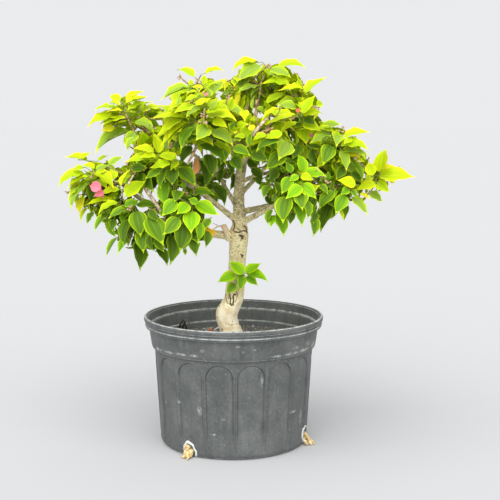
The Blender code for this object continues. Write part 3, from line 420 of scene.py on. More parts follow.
# The crown's outline, and the openings in it by place and radius.
CROWN_OUTLINE = (
    (246, 58), (262, 66), (284, 64), (300, 72), (304, 84), (320, 96), (318, 118), (342, 128), (358, 138),
    (364, 152), (366, 164), (386, 166), (402, 178), (376, 196), (352, 204), (338, 218), (314, 230),
    (300, 218), (282, 226), (271, 218), (267, 202), (257, 186), (248, 168), (240, 160), (236, 178),
    (222, 184), (229, 204), (216, 208), (208, 226), (212, 238), (204, 246), (184, 252), (170, 262),
    (150, 248), (138, 256), (120, 248), (114, 236), (98, 218), (88, 220), (74, 202), (68, 180), (80, 158),
    (98, 161), (108, 158), (120, 168), (130, 164), (132, 150), (118, 138), (104, 140), (96, 120),
    (112, 97), (134, 93), (158, 108), (168, 101), (178, 89), (192, 82), (200, 84), (208, 74), (230, 82),
    (238, 72), (237, 64),
)
CROWN_OPENINGS = (
    (104, 158, 7), (161, 124.5, 4), (139, 130.5, 3.5), (133, 147, 4.5), (252, 106.5, 2), (252.7, 115, 2),
    (260, 117, 2), (288.5, 134.5, 3), (360.5, 168, 2.5), (365, 178.5, 4),
)

# How a leaf is set into the scene: the share of a mass's reach at which its front leaves lie, and how far
# back a mass may stand that still shows.
FRONT_SHARE = 0.88
FRONT_MASSES_TO = 0.05
# How a leaf leans and rolls to show its length and width.
SEEN_LEAN = math.radians(14.0)
SEEN_WIDTH_RATIO = 0.66
SEEN_WIDEST = 0.42
SEEN_LONGEST = 0.052
SEEN_STRETCH = 1.9
SEEN_RISING = 0.25
SEEN_THINNEST = 0.12
SEEN_ROLL = 0.92
SEEN_OUTWARD = 8.0
# How leaves that cut each other are parted: rounds, reach, the steps of the front and the back one, limit.
PART_ROUNDS = 60
PART_REACH = 0.11
PART_STEPS = (-0.0012, 0.0018)
PART_LIMIT = 0.030
# Twigs that carry the seen leaves: reach about their end, its depth behind the leaf feet, their sag, and the
# places along a shoot where they may start.
SPRAY_HUB_REACH = 0.030
SPRAY_HUB_DEPTH = 0.006
SPRAY_SAG = 0.003
SPRAY_PLACES = tuple(share / 8.0 for share in range(2, 9))
# How far behind a leaf another is looked for that it would hide, and from which distance on.
FRONT_DEPTH = 0.30
FRONT_GAP = 0.0004

# Colours of each tone: a leaf's centre, its middle, its margin and its veins.
LEAF_TONES = {
    "dark": ((0.070, 0.138, 0.008), (0.105, 0.200, 0.007), (0.270, 0.410, 0.010), (0.115, 0.205, 0.020)),
    "green": ((0.120, 0.235, 0.014), (0.195, 0.365, 0.010), (0.480, 0.650, 0.012), (0.185, 0.320, 0.028)),
    "leafy": ((0.150, 0.330, 0.012), (0.230, 0.465, 0.008), (0.510, 0.720, 0.010), (0.205, 0.400, 0.022)),
    "fresh": ((0.225, 0.480, 0.008), (0.320, 0.610, 0.006), (0.600, 0.790, 0.010), (0.290, 0.560, 0.020)),
    "pale": ((0.275, 0.420, 0.040), (0.350, 0.535, 0.026), (0.650, 0.740, 0.025), (0.330, 0.450, 0.100)),
    "lime": ((0.400, 0.580, 0.005), (0.500, 0.670, 0.005), (0.760, 0.770, 0.012), (0.450, 0.610, 0.020)),
    "bright": ((0.490, 0.635, 0.004), (0.585, 0.700, 0.005), (0.790, 0.745, 0.016), (0.620, 0.760, 0.030)),
    "yellow": ((0.640, 0.660, 0.010), (0.740, 0.690, 0.014), (0.860, 0.620, 0.028), (0.760, 0.760, 0.060)),
}
# Tones of the leaves under the low line, which have yellowed less and are darker, and of those well above it,
# which are lighter as painted light on the top of the crown.
LOW_TONES = {"pale": "green", "lime": "leafy", "bright": "fresh", "yellow": "bright"}
HIGH_TONES = {"dark": "pale", "green": "pale"}
HIGH_FROM = 0.06
# The low line: its heights at places along X.
LOW_PLACES = (-0.25, -0.11, -0.05, 0.12, 0.23)
LOW_LEVELS = (0.38, 0.44, 0.50, 0.49, 0.38)


class Paint:
    """A node material whose textures lie in the object's own metres."""

    def __init__(self, name):
        self.made = bpy.data.materials.new(name)
        self.made.use_nodes = True
        self.tree = self.made.node_tree
        self.place = self.node("TexCoord", "Object", {})

    def feed(self, socket, value):
        """Link a value into a socket, or set it there when it is plain."""
        if isinstance(value, bpy.types.NodeSocket):
            self.tree.links.new(value, socket)
        elif socket.type == "RGBA":
            socket.default_value = (*value, 1.0)
        else:
            socket.default_value = value

    def node(self, kind, output, inputs, **settings):
        """One output of a new node, made with its settings and its inputs."""
        made = self.tree.nodes.new("ShaderNode" + kind)
        for name, setting in settings.items():
            setattr(made, name, setting)
        for key, value in inputs.items():
            self.feed(made.inputs[key], value)
        return made.outputs[output]

    def noise(self, scale, detail=4.0, roughness=0.55, stretch=(1.0, 1.0, 1.0), distortion=0.0):
        """A noise texture, stretched along its axes."""
        place = self.node("Mapping", "Vector", {"Vector": self.place, "Scale": stretch})
        look = {"Scale": scale, "Detail": detail, "Roughness": roughness, "Distortion": distortion}
        return self.node("TexNoise", "Fac", {"Vector": place, **look})

    def height(self):
        """Height above the pot's underside, in metres."""
        return self.node("SeparateXYZ", "Z", {"Vector": self.place})

    def ramp(self, value, *stops):
        """A colour ramp over a value."""
        colour = self.node("ValToRGB", "Color", {"Fac": value})
        elements = colour.node.color_ramp.elements
        while len(elements) < len(stops):
            elements.new(0.5)
        for element, (place, shade) in zip(elements, stops):
            element.position = place
            element.color = (*shade, 1.0)
        return colour

    def mask(self, value, low, high, least=0.0, most=1.0):
        """A value between least and most where another passes from low to high."""
        limits = {"From Min": low, "From Max": high, "To Min": least, "To Max": most}
        return self.node("MapRange", "Result", {"Value": value, **limits})

    def math(self, operation, *values):
        """The result of one operation on values."""
        return self.node("Math", "Value", dict(enumerate(values)), operation=operation)

    def vector(self, operation, output, *values):
        """The result of one operation on places or directions."""
        return self.node("VectorMath", output, dict(enumerate(values)), operation=operation)

    def largest(self, values):
        """The largest of several values."""
        most = values[0]
        for value in values[1:]:
            most = self.math("MAXIMUM", most, value)
        return most

    def mix(self, share, first, second):
        """A mix of two colours by a share."""
        return self.node("Mix", "Result", {"Factor": share, "A": first, "B": second}, data_type="RGBA")

    def coat(self, colour, over, share, *more):
        """A colour with another over it, by the product of some shares."""
        for factor in more:
            share = self.math("MULTIPLY", share, factor)
        return self.mix(share, colour, over)

    def finish(self, colour, roughness, specular, height, strength, distance):
        """The material with its colour, sheen and fine relief."""
        bump = self.node("Bump", "Normal", {"Height": height, "Strength": strength, "Distance": distance})
        shader = self.tree.nodes["Principled BSDF"]
        self.feed(shader.inputs["Base Color"], colour)
        self.feed(shader.inputs["Roughness"], roughness)
        self.feed(shader.inputs["Specular IOR Level"], specular)
        self.feed(shader.inputs["Normal"], bump)
        return self.made


def plain_material(name, colour, roughness, grain=900.0, relief=0.12, specular=0.4):
    """A material of one plain colour, with its sheen and fine relief from nodes."""
    paint = Paint(name)
    texture = paint.noise(grain, 3.0, 0.5)
    sheen = paint.mask(texture, 0.0, 1.0, roughness - 0.08, roughness + 0.10)
    return paint.finish(colour, sheen, specular, texture, relief, 0.0006)


def add_mesh(name, verts, faces, materials, slots=None, smooth=True):
    """Link one mesh object with its materials, and a slot for each face."""
    mesh = bpy.data.meshes.new(name)
    mesh.from_pydata([tuple(v) for v in verts], [], faces)
    for finish in materials:
        mesh.materials.append(finish)
    if slots is not None:
        mesh.polygons.foreach_set("material_index", np.asarray(slots, dtype=np.int32))
    if smooth:
        mesh.shade_smooth()
    mesh.update()
    obj = bpy.data.objects.new(name, mesh)
    bpy.context.scene.collection.objects.link(obj)
    return obj


def place_piece(obj, slot, *nodes):
    """Let a piece ride with the plant and stand for its nodes; its slot is not used."""
    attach(obj, "root")
    if nodes:
        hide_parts(*nodes)
    return obj


def gather(shapes):
    """One list of points and faces from many shapes."""
    verts, faces = [], []
    for more_verts, more_faces in shapes:
        shift = len(verts)
        verts += more_verts
        faces += [tuple(index + shift for index in face) for face in more_faces]
    return verts, faces


def tree_of(shape):
    """Search tree of a shape's faces."""
    return BVHTree.FromPolygons(*shape)


def spoke(side, other, angle):
    """Direction at an angle between two cross directions."""
    return side * math.cos(angle) + other * math.sin(angle)


def square_to(heading, wanted):
    """The direction square to a heading that comes nearest to a wanted one."""
    return (wanted - heading * wanted.dot(heading)).normalized()


def shake(rng, size):
    """A small random step along all three axes."""
    return Vector([rng.uniform(-size, size) for axis in range(3)])


def path_frames(path):
    """Heading and two cross directions at each point of a path, turned as little as possible."""
    frames = []
    last = len(path) - 1
    side = None
    for k in range(len(path)):
        heading = (path[min(k + 1, last)] - path[max(k - 1, 0)]).normalized()
        if side is None:
            side = heading.cross(Vector((0.0, 1.0, 0.0)))
            if side.length < 0.1:
                side = heading.cross(Vector((1.0, 0.0, 0.0)))
        side = square_to(heading, side)
        frames.append((heading, side, heading.cross(side)))
    return frames


def ring_faces(rings, sides):
    """Faces that join rings of points into one closed tube."""
    faces = [tuple(reversed(range(sides)))]
    for k in range(rings - 1):
        low = k * sides
        for j in range(sides):
            n = (j + 1) % sides
            faces.append((low + j, low + n, low + sides + n, low + sides + j))
    faces.append(tuple((rings - 1) * sides + j for j in range(sides)))
    return faces


def tube(points, radii, sides):
    """Points and faces of a closed tube along a path."""
    path = [Vector(p) for p in points]
    verts = []
    for k, (heading, side, other) in enumerate(path_frames(path)):
        for j in range(sides):
            verts.append(path[k] + spoke(side, other, 2.0 * math.pi * j / sides) * radii[k])
    return verts, ring_faces(len(path), sides)


def bend(start, middle, end, share):
    """A point on the curve that leaves start towards middle and reaches end from it."""
    a = start.lerp(middle, share)
    b = middle.lerp(end, share)
    return a.lerp(b, share)


def around(radius, angle, height):
    """A point about the pot's axis, its angle counted from the front towards +X."""
    return Vector((radius * math.sin(angle), -radius * math.cos(angle), height))


def trunk_path():
    """Centre points and radii of the trunk, from its flat cut to its fork."""
    points = [Vector((lean, 0.0, height)) for height, lean, radius in TRUNK_STATIONS]
    return points, [radius for height, lean, radius in TRUNK_STATIONS]


def lobed_rings(points, radii, sides, phases):
    """Points and faces of the trunk: level rings, lobed and turned by their phases, with a root flare."""
    verts = []
    for point, size, phase in zip(points, radii, phases):
        flare = max(0.0, 1.0 - (point.z - points[0].z) / FLARE_HEIGHT)
        depth = BARK_LOBE_DEPTH + (ROOT_LOBE_DEPTH - BARK_LOBE_DEPTH) * flare
        for j in range(sides):
            angle = 2.0 * math.pi * j / sides
            radius = size * (1.0 + depth * math.sin(ROOT_LOBES * angle + phase))
            verts.append(point + Vector((radius * math.cos(angle), radius * math.sin(angle), 0.0)))
    return verts, ring_faces(len(points), sides)


def along_path(points, share):
    """A point on a path at a share of its number of steps."""
    place = share * (len(points) - 1)
    k = min(int(place), len(points) - 2)
    return points[k].lerp(points[k + 1], place - k)


def limb_curves():
    """Foot, middle and tip of every limb's curve, and its foot and tip radius."""
    paths = {"trunk": trunk_path()}
    curves = {}
    for name, (parent, place, tip, bow, foot_radius, tip_radius) in LIMBS.items():
        start = along_path(paths[parent][0], place)
        if place == 1.0:
            start = start.lerp(paths[parent][0][-2], 0.15)
        end = Vector(tip)
        middle = (start + end) / 2.0 + Vector(bow)
        shares = [k / (LIMB_RINGS - 1) for k in range(LIMB_RINGS)]
        points = [bend(start, middle, end, share) for share in shares]
        radii = [foot_radius + (tip_radius - foot_radius) * share for share in shares]
        paths[name] = (points, radii)
        curves[name] = (start, middle, end, foot_radius, tip_radius)
    return paths, curves


def limb_shape(paths, name, extra=0.0):
    """Points and faces of one limb's solid, grown by a distance."""
    points, radii = paths[name]
    points = points[:-1] + [points[-1] + (points[-1] - points[-2]).normalized() * extra]
    radii = [radius + extra for radius in radii]
    if name == "trunk":
        return lobed_rings(points, radii, TRUNK_SIDES, [SOLID_TWIST * k for k in range(len(points))])
    return tube(points, radii, LIMB_SIDES)


def limb_tree(paths):
    """Search tree of the solids of the trunk, the limbs and the pruned stub."""
    foot = along_path(paths["trunk"][0], 0.84)
    radii = [PRUNED_STUB_RADIUS * 1.1, PRUNED_STUB_RADIUS]
    stub = tube([foot, Vector(PRUNED_STUB_TIP)], radii, LIMB_SIDES)
    return tree_of(gather([stub] + [limb_shape(paths, name, LIMB_MARGIN) for name in paths]))


def cell_clearance(name, point):
    """Distance from a point to the nearest plane that parts its mass from the others."""
    centre, reach = Vector(MASSES[name][1]), MASSES[name][2]
    weight = (sum(reach) / 3.0) ** 2
    least = 1.0
    for other, row in MASSES.items():
        if other == name:
            continue
        far = Vector(row[1])
        power = (point - far).length_squared - (sum(row[2]) / 3.0) ** 2
        own = (point - centre).length_squared - weight
        least = min(least, (power - own) / (2.0 * (far - centre).length))
    return least


def reach_share(name, point):
    """How far out a place lies in a mass, squared, with 1 at the end of its reach."""
    centre, reach = MASSES[name][1:3]
    return sum(((point[axis] - centre[axis]) / reach[axis]) ** 2 for axis in range(3))


def in_space(name, points):
    """Whether all points lie in the mass's reach and on its own side of every parting plane."""
    inside = all(reach_share(name, point) <= 1.0 for point in points)
    return inside and all(cell_clearance(name, point) >= CELL_MARGIN for point in points)


def leaf_shape(foot, heading, face, length, from_share=0.0):
    """The plain leaf of the solids, in four faces, which tests whether a leaf is free."""
    across = heading.cross(face).normalized()
    half_width = length * LEAF_WIDTH_RATIO / 2.0
    middle = foot + heading * (length * LEAF_WIDEST)
    verts = [
        foot + heading * (length * from_share),
        middle + across * half_width,
        foot + heading * length - face * (length * LEAF_BEND),
        middle - across * half_width,
    ]
    return verts, [(0, 1, 3), (1, 2, 3), (0, 2, 1), (0, 3, 2)]


def mass_stem(paths, name):
    """Path of a mass's stem, from its limb's tip through its middle."""
    limb, centre, reach = MASSES[name][0], Vector(MASSES[name][1]), MASSES[name][2]
    points, radii = paths[limb]
    heading = (points[-1] - points[-2]).normalized()
    start = points[-1] + heading * GAP
    straight = start + heading * STEM_STRAIGHT
    away = centre - start
    end = centre + away.normalized() * (0.15 * min(reach))
    middle = start + heading * (0.45 * away.length)
    stem = [start, straight, bend(start, middle, end, 0.55), end]
    foot = radii[-1] * 0.96
    return stem, [foot + (STEM_TIP_RADIUS - foot) * share for share in (0.0, 0.12, 0.55, 1.0)]


def shoot_paths(name, stem, rng):
    """Curved shoots that leave the stem for points spread evenly about the mass."""
    centre, reach, droop, count = Vector(MASSES[name][1]), MASSES[name][2], MASSES[name][3], MASSES[name][4]
    back = (stem[0] - centre).normalized()
    phase = rng.uniform(0.0, 2.0 * math.pi)
    shoots = []
    for k in range(count):
        rise = (1.0 - 2.0 * (k + 0.5) / count) * 0.75 + 0.22
        level = math.sqrt(max(0.0, 1.0 - rise * rise))
        angle = phase + k * GOLDEN_ANGLE
        out = Vector((level * math.cos(angle), level * math.sin(angle), rise))
        out = (out - back * max(0.0, out.dot(back)) * 1.2).normalized()
        tip = centre + Vector([out[axis] * reach[axis] * rng.uniform(0.56, 0.68) for axis in range(3)])
        leave = along_path(stem, 0.35 + 0.6 * (k + 0.5) / count)
        lift = UP * (0.006 - 0.006 * droop)
        middle = leave.lerp(tip, 0.5) + lift
        shoots.append([bend(leave, middle, tip, share) for share in (0.0, 0.5, 1.0)])
    shoots.append([along_path(stem, share) for share in (0.5, 0.75, 1.0)])
    return shoots


def leaf_frames(name, shoot, rng, count=LEAVES_PER_SHOOT, size=LEAF_LENGTH):
    """Foot, heading, face direction, length and share of the leaves that spiral up one shoot."""
    centre, droop = Vector(MASSES[name][1]), MASSES[name][3]
    axis, side, other = path_frames(shoot)[-1]
    frames = []
    for k in range(count):
        share = k / (count - 1.0)
        foot = along_path(shoot, 0.22 + 0.75 * share)
        angle = math.pi / TWIG_SIDES + k * 2.0 * math.pi / TWIG_SIDES + rng.uniform(-0.25, 0.25)
        radial = spoke(side, other, angle)
        spread = math.radians(LOW_SPREAD + (HIGH_SPREAD - LOW_SPREAD) * share + rng.uniform(-10.0, 10.0))
        heading = axis * math.cos(spread) + radial * math.sin(spread)
        outward = (foot - centre) + Vector((centre.x, centre.y, 0.0)) * 0.25
        heading = heading + outward.normalized() * 0.25 - UP * droop
        heading.normalize()
        length = size * rng.uniform(0.86, 1.08) * (1.0 - 0.14 * share)
        frames.append((foot, heading, outward.normalized(), length, share))
    return frames


def leaf_face(heading, outward, rng, lift=0.8):
    """Direction that a leaf's upper side faces: up and outward, square to its heading."""
    return square_to(heading, UP * lift + outward + shake(rng, 0.35))


def solid_leaves(name, shoots, twigs, limbs, rng):
    """The leaves that the mass's solid has: foot, heading, face, length and share along the shoot."""
    placed = []
    blades = []
    twig_trees = [tree_of(twig) for twig in twigs]
    for number, shoot in enumerate(shoots):
        others = [tree for k, tree in enumerate(twig_trees) if k != number]
        for foot, heading, outward, length, share in leaf_frames(name, shoot, rng):
            for attempt in range(LEAF_TRIES):
                face = leaf_face(heading, outward, rng)
                shape = leaf_shape(foot, heading, face, length)
                blade = tree_of(leaf_shape(foot, heading, face, length, SOLID_BLADE_FROM))
                free = in_space(name, shape[0]) and not limbs.overlap(tree_of(shape))
                if free and not any(blade.overlap(earlier) for earlier in blades + others):
                    placed.append((foot, heading, face, length, share))
                    blades.append(blade)
                    break
                heading = (heading + shake(rng, 0.4)).normalized()
                length *= 0.97
    return placed


def grow_masses(paths, limbs):
    """Stem, shoots and leaves of every mass, as the solids have them."""
    grown = {}
    for name, row in MASSES.items():
        rng = random.Random(row[5])
        stem, radii = mass_stem(paths, name)
        shoots = shoot_paths(name, stem, rng)
        woody = [tube(stem, radii, STEM_SIDES)]
        kept = [shoots[-1]]
        for shoot in shoots[:-1]:
            shape = tube(shoot, TWIG_RADII, TWIG_SIDES)
            if in_space(name, shoot[1:]) and not limbs.overlap(tree_of(shape)):
                woody.append(shape)
                kept.append(shoot)
        leaves = solid_leaves(name, kept, woody, limbs, rng)
        grown[name] = (stem, radii, kept, leaves)
    return grown


class Crowd:
    """Leaf blades placed so far, sorted by place so that a new one meets only its neighbours."""

    def __init__(self, cell=0.06):
        self.cell = cell
        self.cells = {}

    def key(self, point):
        """The cell that a place lies in."""
        return tuple(int(math.floor(value / self.cell)) for value in point)

    def add(self, point, blade):
        """Note a blade by its middle."""
        self.cells.setdefault(self.key(point), []).append(blade)

    def hits(self, point, blade):
        """Whether a blade cuts one that was placed near it."""
        x, y, z = self.key(point)
        for i in (x - 1, x, x + 1):
            for j in (y - 1, y, y + 1):
                for k in (z - 1, z, z + 1):
                    for other in self.cells.get((i, j, k), ()):
                        if blade.overlap(other):
                            return True
        return False


def blade_of(leaf):
    """Middle of a leaf's blade, and its search tree."""
    foot, heading, face, length = leaf[:4]
    return foot + heading * (length * 0.5), tree_of(leaf_shape(foot, heading, face, length, BLADE_FROM))


def sight(u, v):
    """Direction of the line of sight through a pixel of the photo."""
    across = VIEW_RIGHT * ((u - PHOTO_MIDDLE) / PHOTO_FOCAL)
    down = VIEW_UP * ((PHOTO_MIDDLE - v) / PHOTO_FOCAL)
    return (VIEW_FORWARD + across + down).normalized()


def pixel_of(point):
    """Pixel of the photo in which a place shows."""
    away = point - VIEW_EYE
    scale = PHOTO_FOCAL / away.dot(VIEW_FORWARD)
    return PHOTO_MIDDLE + away.dot(VIEW_RIGHT) * scale, PHOTO_MIDDLE - away.dot(VIEW_UP) * scale


def at_depth(u, v, depth):
    """Where the line of sight through a pixel meets the upright plane at a depth from the trunk."""
    way = sight(u, v)
    return VIEW_EYE + way * ((depth - VIEW_EYE.y) / way.y)


def crown_front(u, v):
    """The mass that the line of sight through a pixel meets first, or else nears most, and where."""
    way = sight(u, v)
    met, near = [], []
    for name, (limb, centre, reach, *rest) in MASSES.items():
        if centre[1] > FRONT_MASSES_TO:
            continue
        start = Vector([(VIEW_EYE[axis] - centre[axis]) / reach[axis] for axis in range(3)])
        step = Vector([way[axis] / reach[axis] for axis in range(3)])
        nearest = -start.dot(step) / step.length_squared
        passing = (start + step * nearest).length
        near.append((passing, nearest, name))
        if passing < FRONT_SHARE:
            before = math.sqrt(FRONT_SHARE ** 2 - passing ** 2) / step.length
            met.append((nearest - before, name))
    if met:
        distance, name = min(met)
    else:
        passing, distance, name = min(near)
    return name, VIEW_EYE + way * distance


class SeenLeaf:
    """A leaf that the photo shows, set where its line of sight meets its mass or a given depth."""

    def __init__(self, row, tone, whole=False, depth=None):
        u1, v1, u2, v2, width = row
        self.tone, self.whole, self.pushed = tone, whole, 0.0
        self.mass, self.middle = crown_front((u1 + u2) / 2.0, (v1 + v2) / 2.0)
        if depth is not None:
            self.middle = at_depth((u1 + u2) / 2.0, (v1 + v2) / 2.0, depth)
            self.mass = min(MASSES, key=lambda name: reach_share(name, self.middle))
        scale = (self.middle - VIEW_EYE).dot(VIEW_FORWARD) / PHOTO_FOCAL
        along = VIEW_RIGHT * (u2 - u1) - VIEW_UP * (v2 - v1)
        self.turn(along.normalized(), along.length * scale, width * scale)

    def turn(self, along, seen, wide):
        """Lean and roll the leaf until it shows its length and its width."""
        lean = SEEN_LEAN
        if wide > SEEN_WIDTH_RATIO * seen:
            full = max(seen, min(wide / SEEN_WIDTH_RATIO, seen * SEEN_STRETCH, SEEN_LONGEST))
            lean = max(lean, math.acos(min(1.0, seen / full)))
        self.length = seen / math.cos(lean)
        if along.z > SEEN_RISING:
            lean = -lean
        towards = -VIEW_FORWARD
        self.heading = spoke(along, towards, lean).normalized()
        face = square_to(self.heading, towards)
        side = self.heading.cross(face).normalized()
        roll = math.acos(min(1.0, max(SEEN_THINNEST, wide / (SEEN_WIDTH_RATIO * self.length)))) * SEEN_ROLL
        outward = Vector(((self.middle.x - MASSES[self.mass][1][0]) * SEEN_OUTWARD, 0.0, 1.0))
        if side.dot(outward) < 0.0:
            roll = -roll
        self.face = spoke(face, side, roll).normalized()

    def push(self, step):
        """Move along the line of sight, away from the camera, within a limit."""
        if abs(self.pushed + step) <= PART_LIMIT:
            self.pushed += step
            self.middle = self.middle + (self.middle - VIEW_EYE).normalized() * step

    def blade(self):
        """A tree of the leaf's plain outline."""
        foot = self.middle - self.heading * (self.length / 2.0)
        half = self.heading.cross(self.face).normalized() * (self.length * SEEN_WIDTH_RATIO / 2.0)
        shares = (0.04, SEEN_WIDEST, 1.0)
        start, belly, tip = [foot + self.heading * (self.length * share) for share in shares]
        return tree_of(([start, belly + half, tip, belly - half], [(0, 1, 2), (0, 2, 3)]))

    def leaf(self):
        """Foot of the stalk, heading, face, length with the stalk, and its share along the shoot."""
        length = self.length / (1.0 - PETIOLE_SHARE)
        tip = self.middle + self.heading * (self.length / 2.0)
        return tip - self.heading * length, self.heading, self.face, length, 0.8


def part_leaves(leaves):
    """Part leaves that cut each other along their lines of sight: whole ones forwards, the others back."""
    pairs = []
    for k, first in enumerate(leaves):
        near = [other for other in leaves[k + 1:] if (first.middle - other.middle).length < PART_REACH]
        pairs += [(first, other) for other in near]
    for turn in range(PART_ROUNDS):
        blades = {leaf: leaf.blade() for leaf in leaves}
        cuts = [(a, b) for a, b in pairs if blades[a].overlap(blades[b])]
        if not cuts:
            break
        for a, b in cuts:
            nearer = (a.middle - VIEW_EYE).length < (b.middle - VIEW_EYE).length
            front, back = (a, b) if (a.whole if a.whole != b.whole else nearer) else (b, a)
            front.push(PART_STEPS[0])
            back.push(PART_STEPS[1])
    return leaves


def seen_leaves():
    """The leaves of the crown that the photo shows."""
    tables = [(WHOLE_LEAVES, True, None), (PART_LEAVES, False, None)]
    tables += [(table, False, depth) for depth, table in DEEP_LEAVES.items()]
    leaves = []
    for table, whole, depth in tables:
        for tone, rows in table.items():
            leaves += [SeenLeaf(row, tone, whole, depth) for row in rows]
    return part_leaves(leaves)


def seen_bracts():
    """Kind and leaf of every bract and of the withered leaf."""
    bracts = []
    for kind, forwards, row in BRACTS:
        seen = SeenLeaf(row, kind)
        seen.push(-forwards)
        bracts.append((kind, seen.leaf()))
    for row in WITHERED_LEAF:
        bracts.append(("orange", SeenLeaf(row, "orange", depth=WITHERED_DEPTH).leaf()))
    return bracts


def spray_twigs(leaves, shoots):
    """Fine twigs from the nearest shoot to each group of leaf feet, and stalks from them to the feet."""
    hubs = []
    for leaf in leaves:
        near = [hub for hub in hubs if (hub[0] - leaf[0]).length < SPRAY_HUB_REACH]
        if near:
            hub = min(near, key=lambda one: (one[0] - leaf[0]).length)
            hub[1].append(leaf[0])
            hub[0] = sum(hub[1], Vector()) / len(hub[1])
        else:
            hubs.append([leaf[0].copy(), [leaf[0]]])
    twigs, stalks = [], []
    for middle, feet in hubs:
        end = middle + Vector((0.0, SPRAY_HUB_DEPTH, 0.0))
        places = [along_path(shoot, share) for shoot in shoots for share in SPRAY_PLACES]
        start = min(places, key=lambda place: (place - end).length)
        twigs.append([start, start.lerp(end, 0.5) - UP * SPRAY_SAG, end])
        for foot in feet:
            stalks.append([end, end.lerp(foot, 0.5) + Vector((0.0, 0.002, 0.001)), foot])
    return twigs, stalks


def seen_twig(width, behind, pixels):
    """Points and radii of a twig that shows from the front, from its width and points in the photo."""
    distance = (crown_front(*pixels[len(pixels) // 2])[1] - VIEW_EYE).dot(VIEW_FORWARD) + behind
    last = len(pixels) - 1
    points, radii = [], []
    for k, pixel in enumerate(pixels):
        way = sight(*pixel)
        points.append(VIEW_EYE + way * (distance / way.dot(VIEW_FORWARD)))
        radii.append(width * distance / PHOTO_FOCAL / 2.0 * (1.0 - SEEN_TWIG_TAPER * k / last))
    return points, radii


def in_outline(u, v):
    """Whether a pixel of the photo lies in the crown's outline."""
    inside = False
    for k, (u1, v1) in enumerate(CROWN_OUTLINE):
        u0, v0 = CROWN_OUTLINE[k - 1]
        if (v0 > v) != (v1 > v) and u < u0 + (u1 - u0) * (v - v0) / (v1 - v0):
            inside = not inside
    return inside


class FrontView:
    """What the front has to show: the seen leaves and twigs, the crown's outline and its openings."""

    def __init__(self, leaves, twigs):
        blades = [leaf_shape(*leaf[:4], PETIOLE_SHARE) for leaf in leaves]
        self.shown = tree_of(gather(blades + twigs))
        self.openings = []
        for u, v, radius in CROWN_OPENINGS:
            for du, dv in ((0.0, 0.0), (0.7, 0.0), (-0.7, 0.0), (0.0, 0.7), (0.0, -0.7)):
                self.openings.append(sight(u + du * radius, v + dv * radius))

    def allows(self, leaf):
        """Whether a leaf hides nothing that shows, keeps to the outline and covers no opening."""
        foot, heading, face, length = leaf[:4]
        verts, faces = leaf_shape(foot, heading, face, length, PETIOLE_SHARE)
        for point in verts + [foot + heading * (length * share) for share in (0.35, 0.6, 0.8)]:
            way = (point - VIEW_EYE).normalized()
            if self.shown.ray_cast(point + way * FRONT_GAP, way, FRONT_DEPTH)[0] is not None:
                return False
            if not in_outline(*pixel_of(point)):
                return False
        blade = tree_of((verts, faces))
        return all(blade.ray_cast(VIEW_EYE, way)[0] is None for way in self.openings)


def side_twig(shoot, centre, number, angle, rng):
    """Path of a side twig that leaves a shoot sideways, outward and up."""
    axis, side, other = path_frames(shoot)[-1]
    foot = along_path(shoot, SIDE_TWIG_FROM + SIDE_TWIG_SPAN * number / (SIDE_TWIGS - 1))
    away = (foot - centre).normalized() * 0.4 + UP * 0.25
    heading = (axis * 0.5 + spoke(side, other, angle) * 0.9 + away).normalized()
    tip = foot + heading * (SIDE_TWIG_REACH * rng.uniform(*SIZE_SPREAD))
    return [foot, foot.lerp(tip, 0.5) + UP * SIDE_TWIG_BOW, tip]


def grow_finer(grown, limbs, view, seen):
    """Side twigs off the shoots, each with its own leaves, where there is room in the mass's reach."""
    crowd = Crowd()
    for leaf in seen:
        crowd.add(*blade_of(leaf.leaf()))
    kept = {}
    for name, (stem, radii, shoots, leaves) in grown.items():
        kept[name] = [leaf for leaf in leaves if view.allows(leaf) and not crowd.hits(*blade_of(leaf))]
    for leaves in kept.values():
        for leaf in leaves:
            crowd.add(*blade_of(leaf))
    room = (crowd, limbs, view)
    finer = {}
    for name, (stem, radii, shoots, leaves) in grown.items():
        rng = random.Random(MASSES[name][5] + 1000)
        twigs, more = [], list(kept[name])
        for shoot in shoots:
            phase = rng.uniform(0.0, 2.0 * math.pi)
            for k in range(SIDE_TWIGS):
                twig = side_twig(shoot, Vector(MASSES[name][1]), k, phase + k * GOLDEN_ANGLE, rng)
                shape = tube(twig, SIDE_TWIG_ROOM, 4)
                if reach_share(name, twig[-1]) > 1.0 or limbs.overlap(tree_of(shape)):
                    continue
                placed = free_leaves(name, twig, SIDE_LEAVES, room, rng)
                if placed:
                    twigs.append(twig)
                    more += placed
            more += free_leaves(name, shoot, LEAVES_PER_SHOOT, room, rng)
        for path in shoots + twigs:
            more += [leaf for leaf in young_leaves(path, rng) if view.allows(leaf)]
        finer[name] = (twigs, more)
    return finer


def side_face(name, heading, outward, rng):
    """Direction that a side leaf's upper side faces: the lower and the more drooping, the more outward."""
    return leaf_face(heading, outward * 1.1, rng, 0.9 - 0.6 * MASSES[name][3])


def free_leaves(name, path, count, room, rng):
    """Leaves along a twig, inside the mass's reach and the view, that meet no limb and no other leaf."""
    crowd, limbs, view = room
    placed = []
    for foot, heading, outward, length, share in leaf_frames(name, path, rng, count, SIDE_LEAF_LENGTH):
        for attempt in range(SIDE_LEAF_TRIES):
            leaf = (foot, heading, side_face(name, heading, outward, rng), length, share)
            middle, tree = blade_of(leaf)
            free = reach_share(name, foot + heading * length) <= 1.0 and not limbs.overlap(tree)
            if free and not crowd.hits(middle, tree) and view.allows(leaf):
                crowd.add(middle, tree)
                placed.append(leaf)
                break
            heading = (heading + shake(rng, 0.5)).normalized()
            length *= 0.95
    return placed


